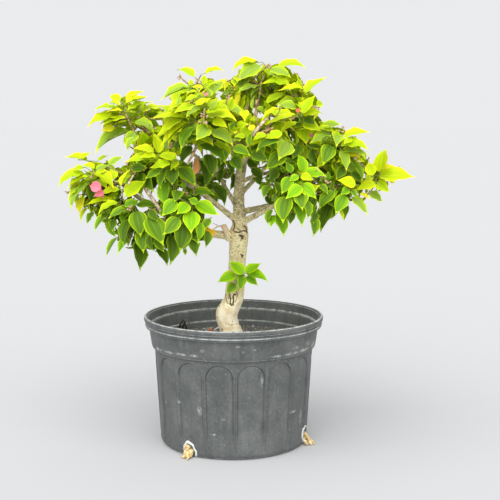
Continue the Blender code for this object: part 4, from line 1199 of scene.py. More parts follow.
def young_leaves(path, rng):
    """A few small young leaves about the tip of a twig."""
    axis, side, other = path_frames(path)[-1]
    leaves = []
    phase = rng.uniform(0.0, 2.0 * math.pi)
    for k in range(YOUNG_LEAVES):
        angle = phase + k * 2.0 * math.pi / YOUNG_LEAVES
        radial = spoke(side, other, angle)
        heading = (axis * 0.8 + radial * 0.8 + UP * 0.35).normalized()
        face = square_to(heading, axis * 0.8 - radial * 0.6 + UP * 0.3)
        leaves.append((path[-1], heading, face, YOUNG_LEAF_LENGTH * rng.uniform(*SIZE_SPREAD), 1.2))
    return leaves


# Leaf outline: share of the blade's length and share of its half width at each row.
LEAF_ROWS = (
    (0.00, 0.06), (0.05, 0.46), (0.15, 0.80), (0.28, 0.98), (0.42, 0.98),
    (0.57, 0.79), (0.70, 0.51), (0.82, 0.23), (0.91, 0.085), (1.00, 0.00),
)
LEAF_COLUMNS = (-1.0, -0.86, -0.45, -0.040, 0.040, 0.45, 0.86, 1.0)
ZONES = ("centre", "middle", "margin", "vein")
BAND_ZONES = (2, 1, 0, 3, 0, 1, 2)
BLADE_WIDTH_RATIO = 0.68
PETIOLE_SHARE = 0.13
PETIOLE_RADIUS = 0.0006
# How far a blade may be folded along its midrib, arched, curled at its tip and swung aside, in degrees, how
# much its edge may wave, and how its width varies.
LEAF_FOLD = (8.0, 28.0)
LEAF_ARCH = (8.0, 32.0)
LEAF_CURL = (-20.0, 46.0)
LEAF_SWING = (-18.0, 18.0)
LEAF_WAVE = (0.05, 0.15)
LEAF_WIDTH_SPREAD = (0.90, 1.08)
CURL_FROM = 0.62


def leaf_faces():
    """Faces of one leaf blade and the zone of each, the tip drawn to one point."""
    columns = len(LEAF_COLUMNS)
    rows = len(LEAF_ROWS)
    faces, zones = [], []
    tip = (rows - 1) * columns
    for row in range(rows - 1):
        for band in range(columns - 1):
            a = row * columns + band
            if row < rows - 2:
                faces.append((a, a + 1, a + columns + 1, a + columns))
            else:
                faces.append((a, a + 1, tip))
            zone = BAND_ZONES[band]
            zones.append(ZONES.index("margin") if row >= rows - 3 else zone)
    return faces, zones


LEAF_FACES, LEAF_ZONES = leaf_faces()


def leaf_points(foot, heading, face, length, rng):
    """Points of one leaf blade: folded along its midrib, arched, waved at the edge, its tip curled."""
    across = heading.cross(face).normalized()
    petiole = length * PETIOLE_SHARE
    blade = length - petiole
    half = blade * BLADE_WIDTH_RATIO / 2.0 * rng.uniform(*LEAF_WIDTH_SPREAD)
    fold = math.radians(rng.uniform(*LEAF_FOLD))
    arch = math.radians(rng.uniform(*LEAF_ARCH))
    curl = math.radians(rng.uniform(*LEAF_CURL))
    swing = math.radians(rng.uniform(*LEAF_SWING))
    wave = rng.uniform(*LEAF_WAVE)
    phase = rng.uniform(0.0, 2.0 * math.pi)
    points = []
    place = foot + heading * petiole
    start_tilt = -arch * 0.45
    step_from = 0.0
    for row, (share, width) in enumerate(LEAF_ROWS):
        tilt = start_tilt + arch * share + curl * max(0.0, share - CURL_FROM) / (1.0 - CURL_FROM)
        turn = swing * share * share
        forward = heading * math.cos(tilt) - face * math.sin(tilt)
        forward = (forward * math.cos(turn) + across * math.sin(turn)).normalized()
        upward = (face * math.cos(tilt) + heading * math.sin(tilt)).normalized()
        sideways = forward.cross(upward).normalized()
        place = place + forward * (blade * (share - step_from))
        step_from = share
        if row == len(LEAF_ROWS) - 1:
            points.append(place)
            break
        for column in LEAF_COLUMNS:
            out = abs(column) * half * width
            ripple = wave * half * column * column * math.sin(5.5 * share * math.pi + phase + column)
            lift = out * math.sin(fold) + ripple * width
            points.append(place + sideways * (math.copysign(out, column) * math.cos(fold)) + upward * lift)
    return points


class Sheets:
    """Leaf blades gathered into one mesh, with a slot for each tone and zone, and the masses they are of."""

    def __init__(self, name):
        self.name = name
        self.blades, self.slots, self.tones, self.masses = [], [], [], []

    def add(self, leaf, tone, rng):
        """Add one leaf in a tone."""
        if tone not in self.tones:
            self.tones.append(tone)
        base = self.tones.index(tone) * len(ZONES)
        self.blades.append((leaf_points(*leaf[:4], rng), LEAF_FACES))
        self.slots += [base + zone for zone in LEAF_ZONES]

    def build(self, finishes):
        """The mesh object, with a slot for each zone of its tones."""
        slots = [finishes[(tone, zone)] for tone in self.tones for zone in ZONES]
        return add_mesh(self.name, *gather(self.blades), slots, self.slots)


def leaf_finishes():
    """One plain material for each zone of each tone."""
    finishes = {}
    for tone, colours in LEAF_TONES.items():
        for zone, colour in zip(ZONES, colours):
            name = f"leaf_{tone}_{zone}"
            made = plain_material(name, colour, 0.55, grain=700.0, relief=0.25, specular=0.12)
            finishes[(tone, zone)] = made
    return finishes


# How bright a leaf of the rule is: weights of its height, of how far out it lies, of its place along its
# shoot and of how it faces up, and a random part. A score under a tone's limit takes that tone.
# Height, reach and facing up paint light and shade into the tone: lighter high, outside and facing up, darker
# low and deep inside.
BRIGHT_HIGH = 0.66
BRIGHT_OUT = 0.28
BRIGHT_TIP = 0.34
BRIGHT_UP = 0.10
BRIGHT_SHAKE = 0.26
CROWN_FOOT = 0.34
CROWN_REACH = 0.26
YELLOW_LEAF_SHARE = 0.012
TONE_LIMITS = {"dark": 0.46, "green": 0.72, "pale": 0.82, "lime": 1.24}


def tone_at(tone, leaf):
    """The tone of a leaf, or its less yellow one low in the crown, or its lighter one high in the crown,
    which is painted light.
    """
    middle = leaf[0] + leaf[1] * (leaf[3] * 0.6)
    above = middle.z - np.interp(middle.x, LOW_PLACES, LOW_LEVELS)
    if above < 0.0:
        return LOW_TONES.get(tone, tone)
    return HIGH_TONES.get(tone, tone) if above > HIGH_FROM else tone


def leaf_tone(leaf, rng):
    """Tone of a leaf: brighter high up, far out, facing up and at the tip of its spray, darker low and deep
    inside; its height, reach and facing paint light and shade into it.
    """
    foot, heading, face, length, share = leaf
    middle = foot + heading * (length * 0.6)
    height = (middle.z - CROWN_FOOT) / CROWN_REACH
    out = math.hypot(middle.x, middle.y) / CROWN_REACH
    facing = 0.5 + 0.5 * face.z
    score = BRIGHT_HIGH * height + BRIGHT_OUT * out + BRIGHT_TIP * share + BRIGHT_UP * facing
    score += rng.uniform(-BRIGHT_SHAKE, BRIGHT_SHAKE)
    if rng.random() < YELLOW_LEAF_SHARE:
        return "yellow"
    for tone, limit in TONE_LIMITS.items():
        if score < limit:
            return tone
    return "bright"


def bark_material():
    """Bark: cream and smooth at the trunk's foot, tan above, olive-grey on the limbs, speckled all over."""
    paint = Paint("bark")
    height = paint.height()
    broad = paint.noise(75.0, 5.0, 0.6)
    fine = paint.noise(420.0, 6.0, 0.65)
    rings = paint.noise(290.0, 3.0, 0.70, (1.0, 1.0, 1.5))
    flecks = paint.noise(210.0, 4.0, 0.6, (1.2, 1.2, 1.0), 0.3)
    low = paint.ramp(broad, (0.32, (0.80, 0.62, 0.36)), (0.58, (0.98, 0.90, 0.66)))
    mid = paint.ramp(broad, (0.34, (0.64, 0.50, 0.23)), (0.60, (0.99, 0.88, 0.50)))
    high = paint.ramp(broad, (0.34, (0.25, 0.200, 0.090)), (0.62, (0.80, 0.68, 0.36)))
    colour = paint.mix(paint.mask(height, 0.222, 0.262), low, mid)
    colour = paint.mix(paint.mask(height, 0.362, 0.400), colour, high)
    pale = paint.mask(flecks, 0.50, 0.60)
    colour = paint.coat(colour, (0.90, 0.81, 0.53), pale, 0.70, paint.mask(height, 0.215, 0.290))
    speck = paint.mask(rings, 0.55, 0.64)
    colour = paint.coat(colour, (0.125, 0.098, 0.042), speck, 0.86, paint.mask(height, 0.235, 0.330))
    colour = paint.coat(colour, (0.42, 0.29, 0.13), paint.mask(fine, 0.64, 0.72), 0.55)
    return paint.finish(colour, 0.82, 0.22, fine, 0.55, 0.0009)


def twig_material(name, dark, pale):
    """Thin wood, dark with paler patches."""
    paint = Paint(name)
    colour = paint.ramp(paint.noise(260.0), (0.36, dark), (0.62, pale))
    return paint.finish(colour, 0.75, 0.5, paint.noise(900.0, 3.0), 0.4, 0.0005)


# Chalky marks on the pot: turn about its axis, height, half width and half height in metres, and strength.
POT_MARKS = (
    (-62.0, 0.1712, 0.0120, 0.0026, 1.0), (-49.0, 0.1718, 0.0130, 0.0024, 1.0),
    (-37.0, 0.1726, 0.0120, 0.0022, 1.0), (-27.0, 0.1735, 0.0080, 0.0022, 0.9),
    (30.0, 0.1712, 0.0140, 0.0022, 0.9), (42.0, 0.1716, 0.0160, 0.0026, 1.0),
    (56.0, 0.1722, 0.0150, 0.0034, 1.0), (70.0, 0.1745, 0.0100, 0.0060, 0.8),
    (46.0, 0.1800, 0.0120, 0.0040, 0.4), (60.0, 0.1810, 0.0110, 0.0050, 0.45),
    (-20.7, 0.1831, 0.0040, 0.0030, 0.8), (2.7, 0.1915, 0.0050, 0.0024, 0.8),
    (5.9, 0.1831, 0.0040, 0.0022, 0.6), (13.6, 0.1856, 0.0036, 0.0018, 0.9),
    (-44.2, 0.0900, 0.0050, 0.0030, 0.65), (-61.8, 0.0803, 0.0046, 0.0030, 0.6),
    (-15.3, 0.0428, 0.0050, 0.0024, 0.7), (-7.8, 0.0691, 0.0040, 0.0020, 0.55),
    (50.0, 0.0690, 0.0100, 0.0020, 0.8), (61.0, 0.0540, 0.0060, 0.0130, 0.6),
    (-25.5, 0.0810, 0.0050, 0.0080, 0.6), (20.0, 0.1300, 0.0030, 0.0100, 0.7),
)
MARKED_COLLAR_RADIUS = 0.1400
# Painted highlights along the edges that run round the pot's outside and its inside: height, half width and
# strength.
OUTER_EDGE_HIGHLIGHTS = (
    (0.2168, 0.0011, 1.0), (0.2090, 0.0007, 0.75), (0.2040, 0.0010, 0.75), (0.1998, 0.0006, 0.5),
    (0.1664, 0.0007, 0.3), (0.0022, 0.0014, 0.65),
)
INNER_EDGE_HIGHLIGHTS = (
    (0.2150, 0.0010, 0.6), (0.2016, 0.0016, 0.85), (0.1992, 0.0005, 0.5), (0.1800, 0.0016, 0.8),
)


def highlight_bands(paint, edges):
    """Where the painted highlights along the edges of one side of the pot lie, each strongest at its height.
    """
    bands = []
    for level, half, strength in edges:
        away = paint.math("ABSOLUTE", paint.math("SUBTRACT", paint.height(), level))
        bands.append(paint.math("MULTIPLY", paint.mask(away, half, half * 0.35), strength))
    return paint.largest(bands)


def inside_share(paint):
    """1 on the pot's inner wall, which faces its axis, and 0 outside."""
    flat = paint.vector("MULTIPLY", "Vector", paint.place, (1.0, 1.0, 0.0))
    outward = paint.vector("DOT_PRODUCT", "Value", flat, paint.node("NewGeometry", "Normal", {}))
    return paint.mask(outward, 0.01, -0.01)


def chalk_marks(paint):
    """Where the chalky marks lie, each an upright oval that fades towards its edge."""
    marks = []
    for turn, level, wide, tall, strength in POT_MARKS:
        radius = MARKED_COLLAR_RADIUS if level > COLLAR_FOOT else wall_radius(level)
        away = paint.vector("SUBTRACT", "Vector", paint.place, around(radius, math.radians(turn), level))
        scaled = paint.vector("MULTIPLY", "Vector", away, (1.0 / wide, 1.0 / wide, 1.0 / tall))
        oval = paint.mask(paint.vector("LENGTH", "Value", scaled), 1.25, 0.25)
        marks.append(paint.math("MULTIPLY", oval, strength))
    return paint.largest(marks)


def pot_material():
    """Charcoal plastic under dust, with chalky marks, fine scratches and painted highlights along its edges.
    """
    paint = Paint("pot_plastic")
    dust = paint.noise(22.0, 7.0, 0.65)
    streak = paint.noise(110.0, 6.0, 0.65, (1.0, 1.0, 0.06))
    grime = paint.noise(260.0, 6.0, 0.75)
    colour = paint.ramp(dust, (0.32, (0.070, 0.0755, 0.0740)), (0.68, (0.134, 0.1415, 0.1370)))
    colour = paint.coat(colour, (0.050, 0.054, 0.054), paint.mask(streak, 0.46, 0.34), 0.25)
    colour = paint.coat(colour, (0.24, 0.25, 0.24), paint.mask(streak, 0.56, 0.68), 0.25)
    colour = paint.coat(colour, (0.27, 0.28, 0.26), paint.mask(grime, 0.54, 0.70), 0.35)
    colour = paint.coat(colour, (0.040, 0.042, 0.042), paint.mask(grime, 0.46, 0.34), 0.35)
    chalk = paint.mask(paint.noise(210.0, 8.0, 0.78, distortion=0.8), 0.43, 0.55)
    colour = paint.coat(colour, (0.52, 0.53, 0.49), chalk_marks(paint), chalk)
    speck = paint.mask(paint.noise(420.0, 2.0, 0.5), 0.70, 0.76)
    colour = paint.coat(colour, (0.50, 0.51, 0.47), speck, 0.7)
    # Painted highlights on the rim, collar and base edges, broken into patches by noise.
    highlight_patches = paint.mask(paint.noise(120.0, 5.0, 0.7, (1.0, 1.0, 0.3)), 0.34, 0.56)
    edge_highlights = paint.mix(inside_share(paint), highlight_bands(paint, OUTER_EDGE_HIGHLIGHTS), highlight_bands(paint, INNER_EDGE_HIGHLIGHTS))
    colour = paint.coat(colour, (0.56, 0.58, 0.55), edge_highlights, highlight_patches)
    return paint.finish(colour, paint.mask(dust, 0.0, 1.0, 0.45, 0.72), 0.40, grime, 0.20, 0.0006)


def soil_material():
    """Dark, damp, granular potting mix."""
    paint = Paint("soil")
    broad = paint.noise(300.0, 6.0, 0.7)
    stops = ((0.32, (0.100, 0.098, 0.090)), (0.52, (0.260, 0.256, 0.236)), (0.70, (0.520, 0.510, 0.470)))
    return paint.finish(paint.ramp(broad, *stops), 0.95, 0.15, broad, 0.8, 0.0015)


def smooth_path(points, radii, step):
    """Points and radii on a smooth curve through the given ones, a step apart."""
    path, widths = [], []
    last = len(points) - 1
    for k in range(last):
        before = points[max(k - 1, 0)]
        after = points[min(k + 2, last)]
        start, end = points[k], points[k + 1]
        count = max(1, int(round((end - start).length / step)))
        for j in range(count):
            t = j / count
            t2, t3 = t * t, t * t * t
            spot = (
                start * (2.0 * t3 - 3.0 * t2 + 1.0)
                + (end - before) * (0.5 * (t3 - 2.0 * t2 + t))
                + end * (3.0 * t2 - 2.0 * t3)
                + (after - start) * (0.5 * (t3 - t2))
            )
            path.append(spot)
            ease = 3.0 * t2 - 2.0 * t3
            widths.append(radii[k] + (radii[k + 1] - radii[k]) * ease)
    path.append(points[-1])
    widths.append(radii[-1])
    return path, widths


TRUNK_STEP = 0.0022
TRUNK_MESH_SIDES = 56
FORK_STUB = 0.055
COLLAR_REACH = 0.012
COLLAR_GROWTH = 0.32
FORK_VOXEL = 0.00095
LIMB_STEP = 0.0035
LIMB_MESH_SIDES = 14
FORK_LIMBS = ("trunk", "leader")
FORK_STEP = 0.003
FORK_SIDES = 24
LEADER_SIDES = 32
STUB_SIDES = 20
FORK_OVERLAP = 0.006


def limb_run(curve, first, last, step, collar):
    """Points and radii along a limb between two distances from its foot, thicker at a collar."""
    start, middle, end, foot_radius, tip_radius = curve
    length = 0.5 * ((middle - start).length + (end - middle).length + (end - start).length)
    last = min(last, length)
    count = max(2, int(round((last - first) / step)))
    points, radii = [], []
    for k in range(count + 1):
        distance = first + (last - first) * k / count
        share = distance / length
        points.append(bend(start, middle, end, share))
        radius = foot_radius + (tip_radius - foot_radius) * share
        if collar:
            radius *= 1.0 + COLLAR_GROWTH * math.exp(-distance / COLLAR_REACH)
        radii.append(radius)
    return points, radii, length


# Cracks on the front of the trunk and its fork, sunk into the bark and darkened with painted shade as deep as
# they lie: depth, half width and points along X and Z, in millimetres.
CRACKS = (
    (0.8, 0.8, ((-12, 256), (-14, 250), (-12, 242), (-9, 238))),
    (1.5, 0.9, ((-5, 259), (-7, 253), (-5, 245), (-6, 240), (-4, 235))),
    (1.5, 0.9, ((-4, 235), (-1, 236), (0, 242), (-1, 250), (1, 254), (4, 253))),
    (0.8, 0.8, ((4, 258), (7, 253), (5, 247), (3, 242))),
    (0.7, 0.8, ((-10, 255), (-9, 246))),
    (0.7, 1.6, ((-1, 378), (2, 372), (0, 363))),
    (0.9, 1.4, ((1, 360), (9, 359), (16, 362), (23, 360))),
    (0.7, 1.6, ((18, 370), (22, 365), (23, 358))),
    (0.6, 1.3, ((6, 366), (11, 363))),
    (1.2, 1.9, ((11, 354), (16, 352), (14, 348))),
    (0.5, 3.4, ((13, 353), (15, 349))),
    (1.0, 1.5, ((13, 321), (16, 319), (14, 317))),
    (0.45, 2.6, ((14, 320), (15, 318))),
    (0.5, 0.8, ((-14, 203), (-8, 201), (-2, 201))),
)
SCAR_RIDGE = ((-5, 257), (-3, 248), (-2, 240), (-2, 237))
SPOTS = (
    ((-28, 213), 1.1), ((-20, 193), 1.1), ((-19, 191), 0.9),
    ((-2, 207), 0.8), ((-24, 232), 0.9), ((-11, 221), 0.7),
)
CREASE_HEIGHT = 0.2030
CREASE_SLOPE = -0.35
BARK_SMOOTH_BELOW = 0.2150
BARK_ROUGH_ABOVE = 0.3000
# How far the bark stands out by lumps, and by wrinkles and grain: everywhere, and added where it is rough.
LUMPS = 0.00042
WRINKLES = (0.00010, 0.00042)
GRAIN = (0.00004, 0.00014)
# Folds about the fork, the scar's ridge, the cracks and the crease across the trunk.
FOLD_HEIGHT = 0.3700
FOLD_SPREAD = 0.0140
FOLDS = 0.0008
RIDGE = 0.0011
CRACK_DEPTH = 0.0010
CREASE_DEPTH = 0.0011
CREASE_WIDTH = 0.0013
FRONT_MARKS_TO = 0.385


def stroke_distance(x, z, points):
    """Distance in millimetres from a place to a line through points."""
    least = 1e9
    for (x0, z0), (x1, z1) in zip(points, points[1:]):
        span = (x1 - x0) ** 2 + (z1 - z0) ** 2
        share = max(0.0, min(1.0, ((x - x0) * (x1 - x0) + (z - z0) * (z1 - z0)) / span))
        least = min(least, math.hypot(x - x0 - (x1 - x0) * share, z - z0 - (z1 - z0) * share))
    return least


def crack_marks(x, y, z):
    """How deep the cracks lie at a place on the trunk's front, and how high the scar's ridge stands."""
    ragged = 0.9 * noise.noise(Vector((x, y, z)) * 420.0)
    across, up = x * 1000.0 + ragged, z * 1000.0 + 0.7 * noise.noise(Vector((z, x, y)) * 380.0)
    deep = 0.0
    for depth, half, points in CRACKS:
        if min(point[1] for point in points) - 4.0 < up < max(point[1] for point in points) + 4.0:
            far = stroke_distance(across, up, points) / half
            deep = max(deep, depth * math.exp(-far * far))
    for (spot_x, spot_z), size in SPOTS:
        far = math.hypot(across - spot_x, up - spot_z) / size
        if far < 3.0:
            deep = max(deep, 0.9 * math.exp(-far * far))
    ridge = 0.0
    if 230.0 < up < 262.0:
        ridge = math.exp(-((stroke_distance(across, up, SCAR_RIDGE) / 2.2) ** 2))
    return deep, ridge


def bark_relief(point, normal):
    """Distance that the bark stands out at a point, and how much painted shade it takes there in a crack or
    dent.
    """
    x, y, z = point
    rough = min(1.0, max(0.0, (z - BARK_SMOOTH_BELOW) / (BARK_ROUGH_ABOVE - BARK_SMOOTH_BELOW)))
    broad = noise.fractal(Vector((x, y, z)) * 55.0, 0.9, 2.0, 3)
    wrinkle = noise.fractal(Vector((x * 130.0, y * 130.0, z * 330.0)), 0.8, 2.1, 4)
    grain = noise.noise(Vector((x, y, z)) * 700.0)
    out = LUMPS * broad + (WRINKLES[0] + WRINKLES[1] * rough) * wrinkle
    out += (GRAIN[0] + GRAIN[1] * rough) * grain
    dark = 0.0
    collar = math.exp(-(((z - FOLD_HEIGHT) / FOLD_SPREAD) ** 2))
    folds = Vector((x * 90.0, y * 90.0, z * 260.0)) + Vector((3.0, 1.0, 5.0))
    out += FOLDS * collar * noise.fractal(folds, 0.8, 2.0, 3)
    if normal.y < -0.10 and z < FRONT_MARKS_TO:
        deep, ridge = crack_marks(x, y, z)
        out += RIDGE * ridge - CRACK_DEPTH * deep
        dark = deep
    crease = z - CREASE_HEIGHT - CREASE_SLOPE * (x + 0.012) * 0.5
    if normal.x > -0.8 and abs(crease) < 0.006:
        out -= CREASE_DEPTH * math.exp(-((crease / CREASE_WIDTH) ** 2)) * min(1.0, normal.x + 0.8)
    return out, dark


# Colours of the painted shade in the bark's cracks and dents, dark and brown, and how deep a face lies that
# takes them.
CRACK_SHADE_COLOURS = {"bark_dark": (0.105, 0.078, 0.036), "bark_brown": (0.36, 0.27, 0.13)}
DARK_FROM = 0.62
BROWN_FROM = 0.30


def relief_mesh(obj):
    """Push the bark's relief into a mesh, and give the faces deep in its cracks and dents painted shade: dark
    ones at the core, brown ones about them.
    """
    mesh = obj.data
    count = len(mesh.vertices)
    normals = [vertex.normal.copy() for vertex in mesh.vertices]
    darkness = np.zeros(count)
    for k, vertex in enumerate(mesh.vertices):
        out, dark = bark_relief(vertex.co, normals[k])
        vertex.co = vertex.co + normals[k] * out
        darkness[k] = dark
    for polygon in mesh.polygons:
        depth = darkness[list(polygon.vertices)].mean()
        if depth > BROWN_FROM:
            polygon.material_index = 1 if depth > DARK_FROM else 2
    mesh.update()


def evaluated_mesh(obj):
    """Swap an object's mesh for its evaluated one and drop its modifiers."""
    bpy.context.view_layer.update()
    evaluated = obj.evaluated_get(bpy.context.evaluated_depsgraph_get())
    result = bpy.data.meshes.new_from_object(evaluated)
    obj.modifiers.clear()
    obj.data = result


def trunk_piece(paths, curves, finishes):
    """Trunk, pruned stub and the feet of the leader and boughs, grown together, with bark relief."""
    points, radii = smooth_path(*paths["trunk"], TRUNK_STEP)
    twists = [BARK_TWIST * (point.z - points[0].z) for point in points]
    shapes = [lobed_rings(points, radii, TRUNK_MESH_SIDES, twists)]
    for name, row in LIMBS.items():
        if row[0] in FORK_LIMBS:
            points, radii, length = limb_run(curves[name], 0.0, FORK_STUB, FORK_STEP, True)
            shapes.append(tube(points, radii, FORK_SIDES))
    points, radii, length = limb_run(curves["leader"], 0.0, 1.0, FORK_STEP, False)
    shapes.append(tube(points, radii, LEADER_SIDES))
    foot, tip = Vector(STUB_FOOT), Vector(PRUNED_STUB_TIP)
    stub_radii = [PRUNED_STUB_RADIUS * share for share in (1.6, 1.15, 0.9, 0.85)]
    shapes.append(tube([foot.lerp(tip, share) for share in (0.0, 0.4, 0.7, 1.0)], stub_radii, STUB_SIDES))
    obj = add_mesh("trunk_bark", *gather(shapes), finishes[:1])
    remesh = obj.modifiers.new("grow_together", "REMESH")
    remesh.mode = "VOXEL"
    remesh.voxel_size = FORK_VOXEL
    evaluated_mesh(obj)
    soften(obj, 3)
    obj.data.materials.clear()
    for finish in finishes:
        obj.data.materials.append(finish)
    relief_mesh(obj)
    for vertex in obj.data.vertices:
        vertex.co.z = max(vertex.co.z, paths["trunk"][0][0].z)
    obj.data.shade_smooth()
    return obj


def soften(obj, rounds):
    """Even out the steps of a remeshed surface."""
    shell = bmesh.new()
    shell.from_mesh(obj.data)
    for turn in range(rounds):
        bmesh.ops.smooth_vert(
            shell, verts=shell.verts, factor=0.5, use_axis_x=True, use_axis_y=True, use_axis_z=True
        )
    shell.to_mesh(obj.data)
    shell.free()


def limb_piece(curves, finishes):
    """The boughs and branches beyond the fork, with bark relief."""
    shapes = []
    for name, row in LIMBS.items():
        at_fork = row[0] in FORK_LIMBS
        first = FORK_STUB - FORK_OVERLAP if at_fork else 0.0
        points, radii, length = limb_run(curves[name], first, 1.0, LIMB_STEP, not at_fork)
        if name != "leader" and first < length:
            shapes.append(tube(points, radii, LIMB_MESH_SIDES))
    obj = add_mesh("limb_bark", *gather(shapes), finishes)
    relief_mesh(obj)
    return obj


def twig_tube(points, radii, rng, step=TWIG_STEP):
    """A knuckled twig along a path."""
    path, widths = smooth_path([Vector(p) for p in points], radii, step)
    phase = rng.uniform(0.0, 3.0)
    for k in range(len(widths)):
        widths[k] = widths[k] * (1.0 + TWIG_KNUCKLE * max(0.0, math.sin(2.1 * k + phase)) ** 3)
    return tube(path, widths, FINE_TWIG_SIDES)


def petiole_tube(leaf):
    """The thin stalk of a leaf."""
    foot, heading, face, length = leaf[:4]
    end = foot + heading * (length * (PETIOLE_SHARE + 0.02)) + face * (length * 0.006)
    return tube([foot, foot.lerp(end, 0.5), end], [PETIOLE_RADIUS] * 3, 3)


def bud(start, end, foot_radius, swell):
    """One dried flower end or bud, thickest past its middle."""
    return tube([start, start.lerp(end, 0.6), end], [foot_radius, swell, swell * 0.5], 5)


def bud_shapes(path, rng):
    """Small pale dried flower ends and buds about the tip of a shoot."""
    axis, side, other = path_frames(path)[-1]
    shapes = []
    for k in range(rng.randint(3, 6)):
        radial = spoke(side, other, rng.uniform(0.0, 2.0 * math.pi))
        start = path[-1] - axis * rng.uniform(0.0, 0.010)
        end = start + (axis * 0.7 + radial).normalized() * rng.uniform(0.003, 0.007)
        shapes.append(bud(start, end, 0.0005, rng.uniform(0.0009, 0.0016)))
    return shapes


def flower_ends(place, count, rng):
    """A few dried flower ends and buds close together."""
    shapes = []
    for k in range(count):
        start = place + shake(rng, 0.004)
        end = start + Vector((rng.uniform(-1.0, 1.0), -0.4, rng.uniform(-0.8, 0.8))).normalized() * 0.0055
        shapes.append(bud(start, end, 0.0007, rng.uniform(0.0013, 0.0021)))
    return shapes


def sprout_stem(paths):
    """Stem of the shoot low on the trunk, from inside its bark to its tip."""
    points, radii = paths["trunk"]
    k = max(j for j in range(len(points) - 1) if points[j].z <= SPROUT_FOOT)
    share = (SPROUT_FOOT - points[k].z) / (points[k + 1].z - points[k].z)
    centre = points[k].lerp(points[k + 1], share)
    radius = radii[k] + (radii[k + 1] - radii[k]) * share
    out = around(1.0, SPROUT_ANGLE, 0.0)
    foot = centre + out * (radius * 0.9)
    tip = centre + out * (radius + SPROUT_STEM) + UP * 0.002
    return [foot, foot.lerp(tip, 0.5), tip]


# Outline of the collar, rim and inner wall, by steps inward from a radius and up from a height.
COLLAR_STEPS = ((0.0008, -0.0004), (0.0, 0.0010), (-0.0012, 0.0060))
COLLAR_TOP_STEPS = ((0.0010, -0.0060), (0.0, -0.0012), (-0.0004, 0.0))
BEAD_STEPS = (
    (0.0050, 0.0001), (0.0028, 0.0008), (0.0019, 0.0022), (0.0017, 0.0038), (0.0021, 0.0056),
    (0.0034, 0.0070), (0.0036, 0.0078), (0.0020, 0.0090), (0.0004, 0.0108), (0.0, 0.0130),
)
LIP_STEPS = (
    (0.0001, -0.0030), (0.0008, -0.0010), (0.0020, -0.0002),
    (0.0038, 0.0), (0.0058, -0.0003), (0.0070, -0.0012),
)
LIP_INNER_STEPS = ((0.0, -0.0028), (0.0010, -0.0080), (0.0020, -0.0138), (0.0028, -0.0150))
COLLAR_INNER_STEPS = ((0.0006, -0.0158), (0.0014, -0.0170), (0.0030, -0.0270))
LEDGE_STEPS = ((-0.0008, 0.1812), (-0.0002, 0.1794), (0.0010, 0.1786), (0.0034, 0.1782), (0.0042, 0.1770))


def stepped(radius, height, steps):
    """Outline points at steps inward from a radius and up from a height."""
    return [(radius - inward, height + rise) for inward, rise in steps]


def lower_outline():
    """Outline of the pot from the middle of its underside to the foot of its wall."""
    rows = [(0.0, 0.0), (BASE_RADIUS * 0.5, 0.0), (BASE_RADIUS - 0.002, 0.0)]
    return rows + arc(BASE_RADIUS, 0.0, BODY_FOOT_RADIUS - 0.0004, BODY_FOOT * 0.7, 0.0045, 7)


def upper_outline():
    """Outline of the pot from above its arches, over the rim and down the inside to its floor's middle."""
    rim_foot = POT_HEIGHT - RIM_DEPTH
    rows = [(wall_radius(COLLAR_FOOT - drop), COLLAR_FOOT - drop) for drop in (0.0025, 0.0012)]
    rows += stepped(wall_radius(COLLAR_FOOT), COLLAR_FOOT, ((0.0004, -0.0004),))
    rows += stepped(BODY_TOP_RADIUS, COLLAR_FOOT, ((-0.0012, -0.0006),))
    rows += stepped(COLLAR_FOOT_RADIUS, COLLAR_FOOT, COLLAR_STEPS)
    rows += stepped(COLLAR_TOP_RADIUS, rim_foot, COLLAR_TOP_STEPS)
    rows += stepped(RIM_RADIUS, rim_foot, BEAD_STEPS)
    rows += stepped(RIM_RADIUS, POT_HEIGHT, LIP_STEPS)
    rows += stepped(RIM_RADIUS - LIP_WIDTH, POT_HEIGHT, LIP_INNER_STEPS)
    rows += stepped(COLLAR_TOP_RADIUS - WALL, POT_HEIGHT, COLLAR_INNER_STEPS)
    rows += stepped(COLLAR_FOOT_RADIUS - WALL, 0.0, LEDGE_STEPS)
    rows += [(BODY_FOOT_RADIUS - WALL - INNER_EASE, BODY_FOOT), (BASE_RADIUS - INNER_EASE, FLOOR_THICKNESS)]
    return rows + [(0.0, FLOOR_THICKNESS)]


def arc(r0, z0, r1, z1, bulge, count):
    """Points on a curve between two places, pushed outward in its middle."""
    points = []
    for k in range(count + 1):
        share = k / count
        push = 4.0 * bulge * share * (1.0 - share)
        points.append((r0 + (r1 - r0) * share + push * 0.7, z0 + (z1 - z0) * share - push * 0.5))
    return points


def wall_radius(height):
    """Outer radius of the plain body wall at a height."""
    share = (height - BODY_FOOT) / (COLLAR_FOOT - BODY_FOOT)
    return BODY_FOOT_RADIUS + (BODY_TOP_RADIUS - BODY_FOOT_RADIUS) * share


def arch_columns():
    """Shares across one arch and the strip beside it up to its seam, closer together at the edges."""
    inner = [-math.cos(math.pi * k / 12.0) * 0.955 for k in range(13)]
    seam = math.pi / ARCH_COUNT / ARCH_HALF_WIDTH
    right = [0.985, 1.0, 1.035, seam - 0.050, seam - 0.018]
    return [-share for share in reversed(right)] + inner + right + [seam], seam


# Seams and grooves of the arches, and the steps of the wall's points from an arch's foot and top.
SEAM_HEIGHT = 0.0007
SEAM_WIDTH = 0.01
ARCH_GROOVE = 0.0009
ARCH_ROWS_BELOW = (0.0, 0.0003, 0.0008, 0.0014, 0.0024)
ARCH_ROWS_ABOVE = (0.0024, 0.0016, 0.0010, 0.0005, 0.0)
ARCH_ROWS_BETWEEN = 26


def seam_offset(across, strip_half):
    """How far the seam between two arches stands out at a place beside an arch."""
    return SEAM_HEIGHT if abs(abs(across) - strip_half) < SEAM_WIDTH else 0.0


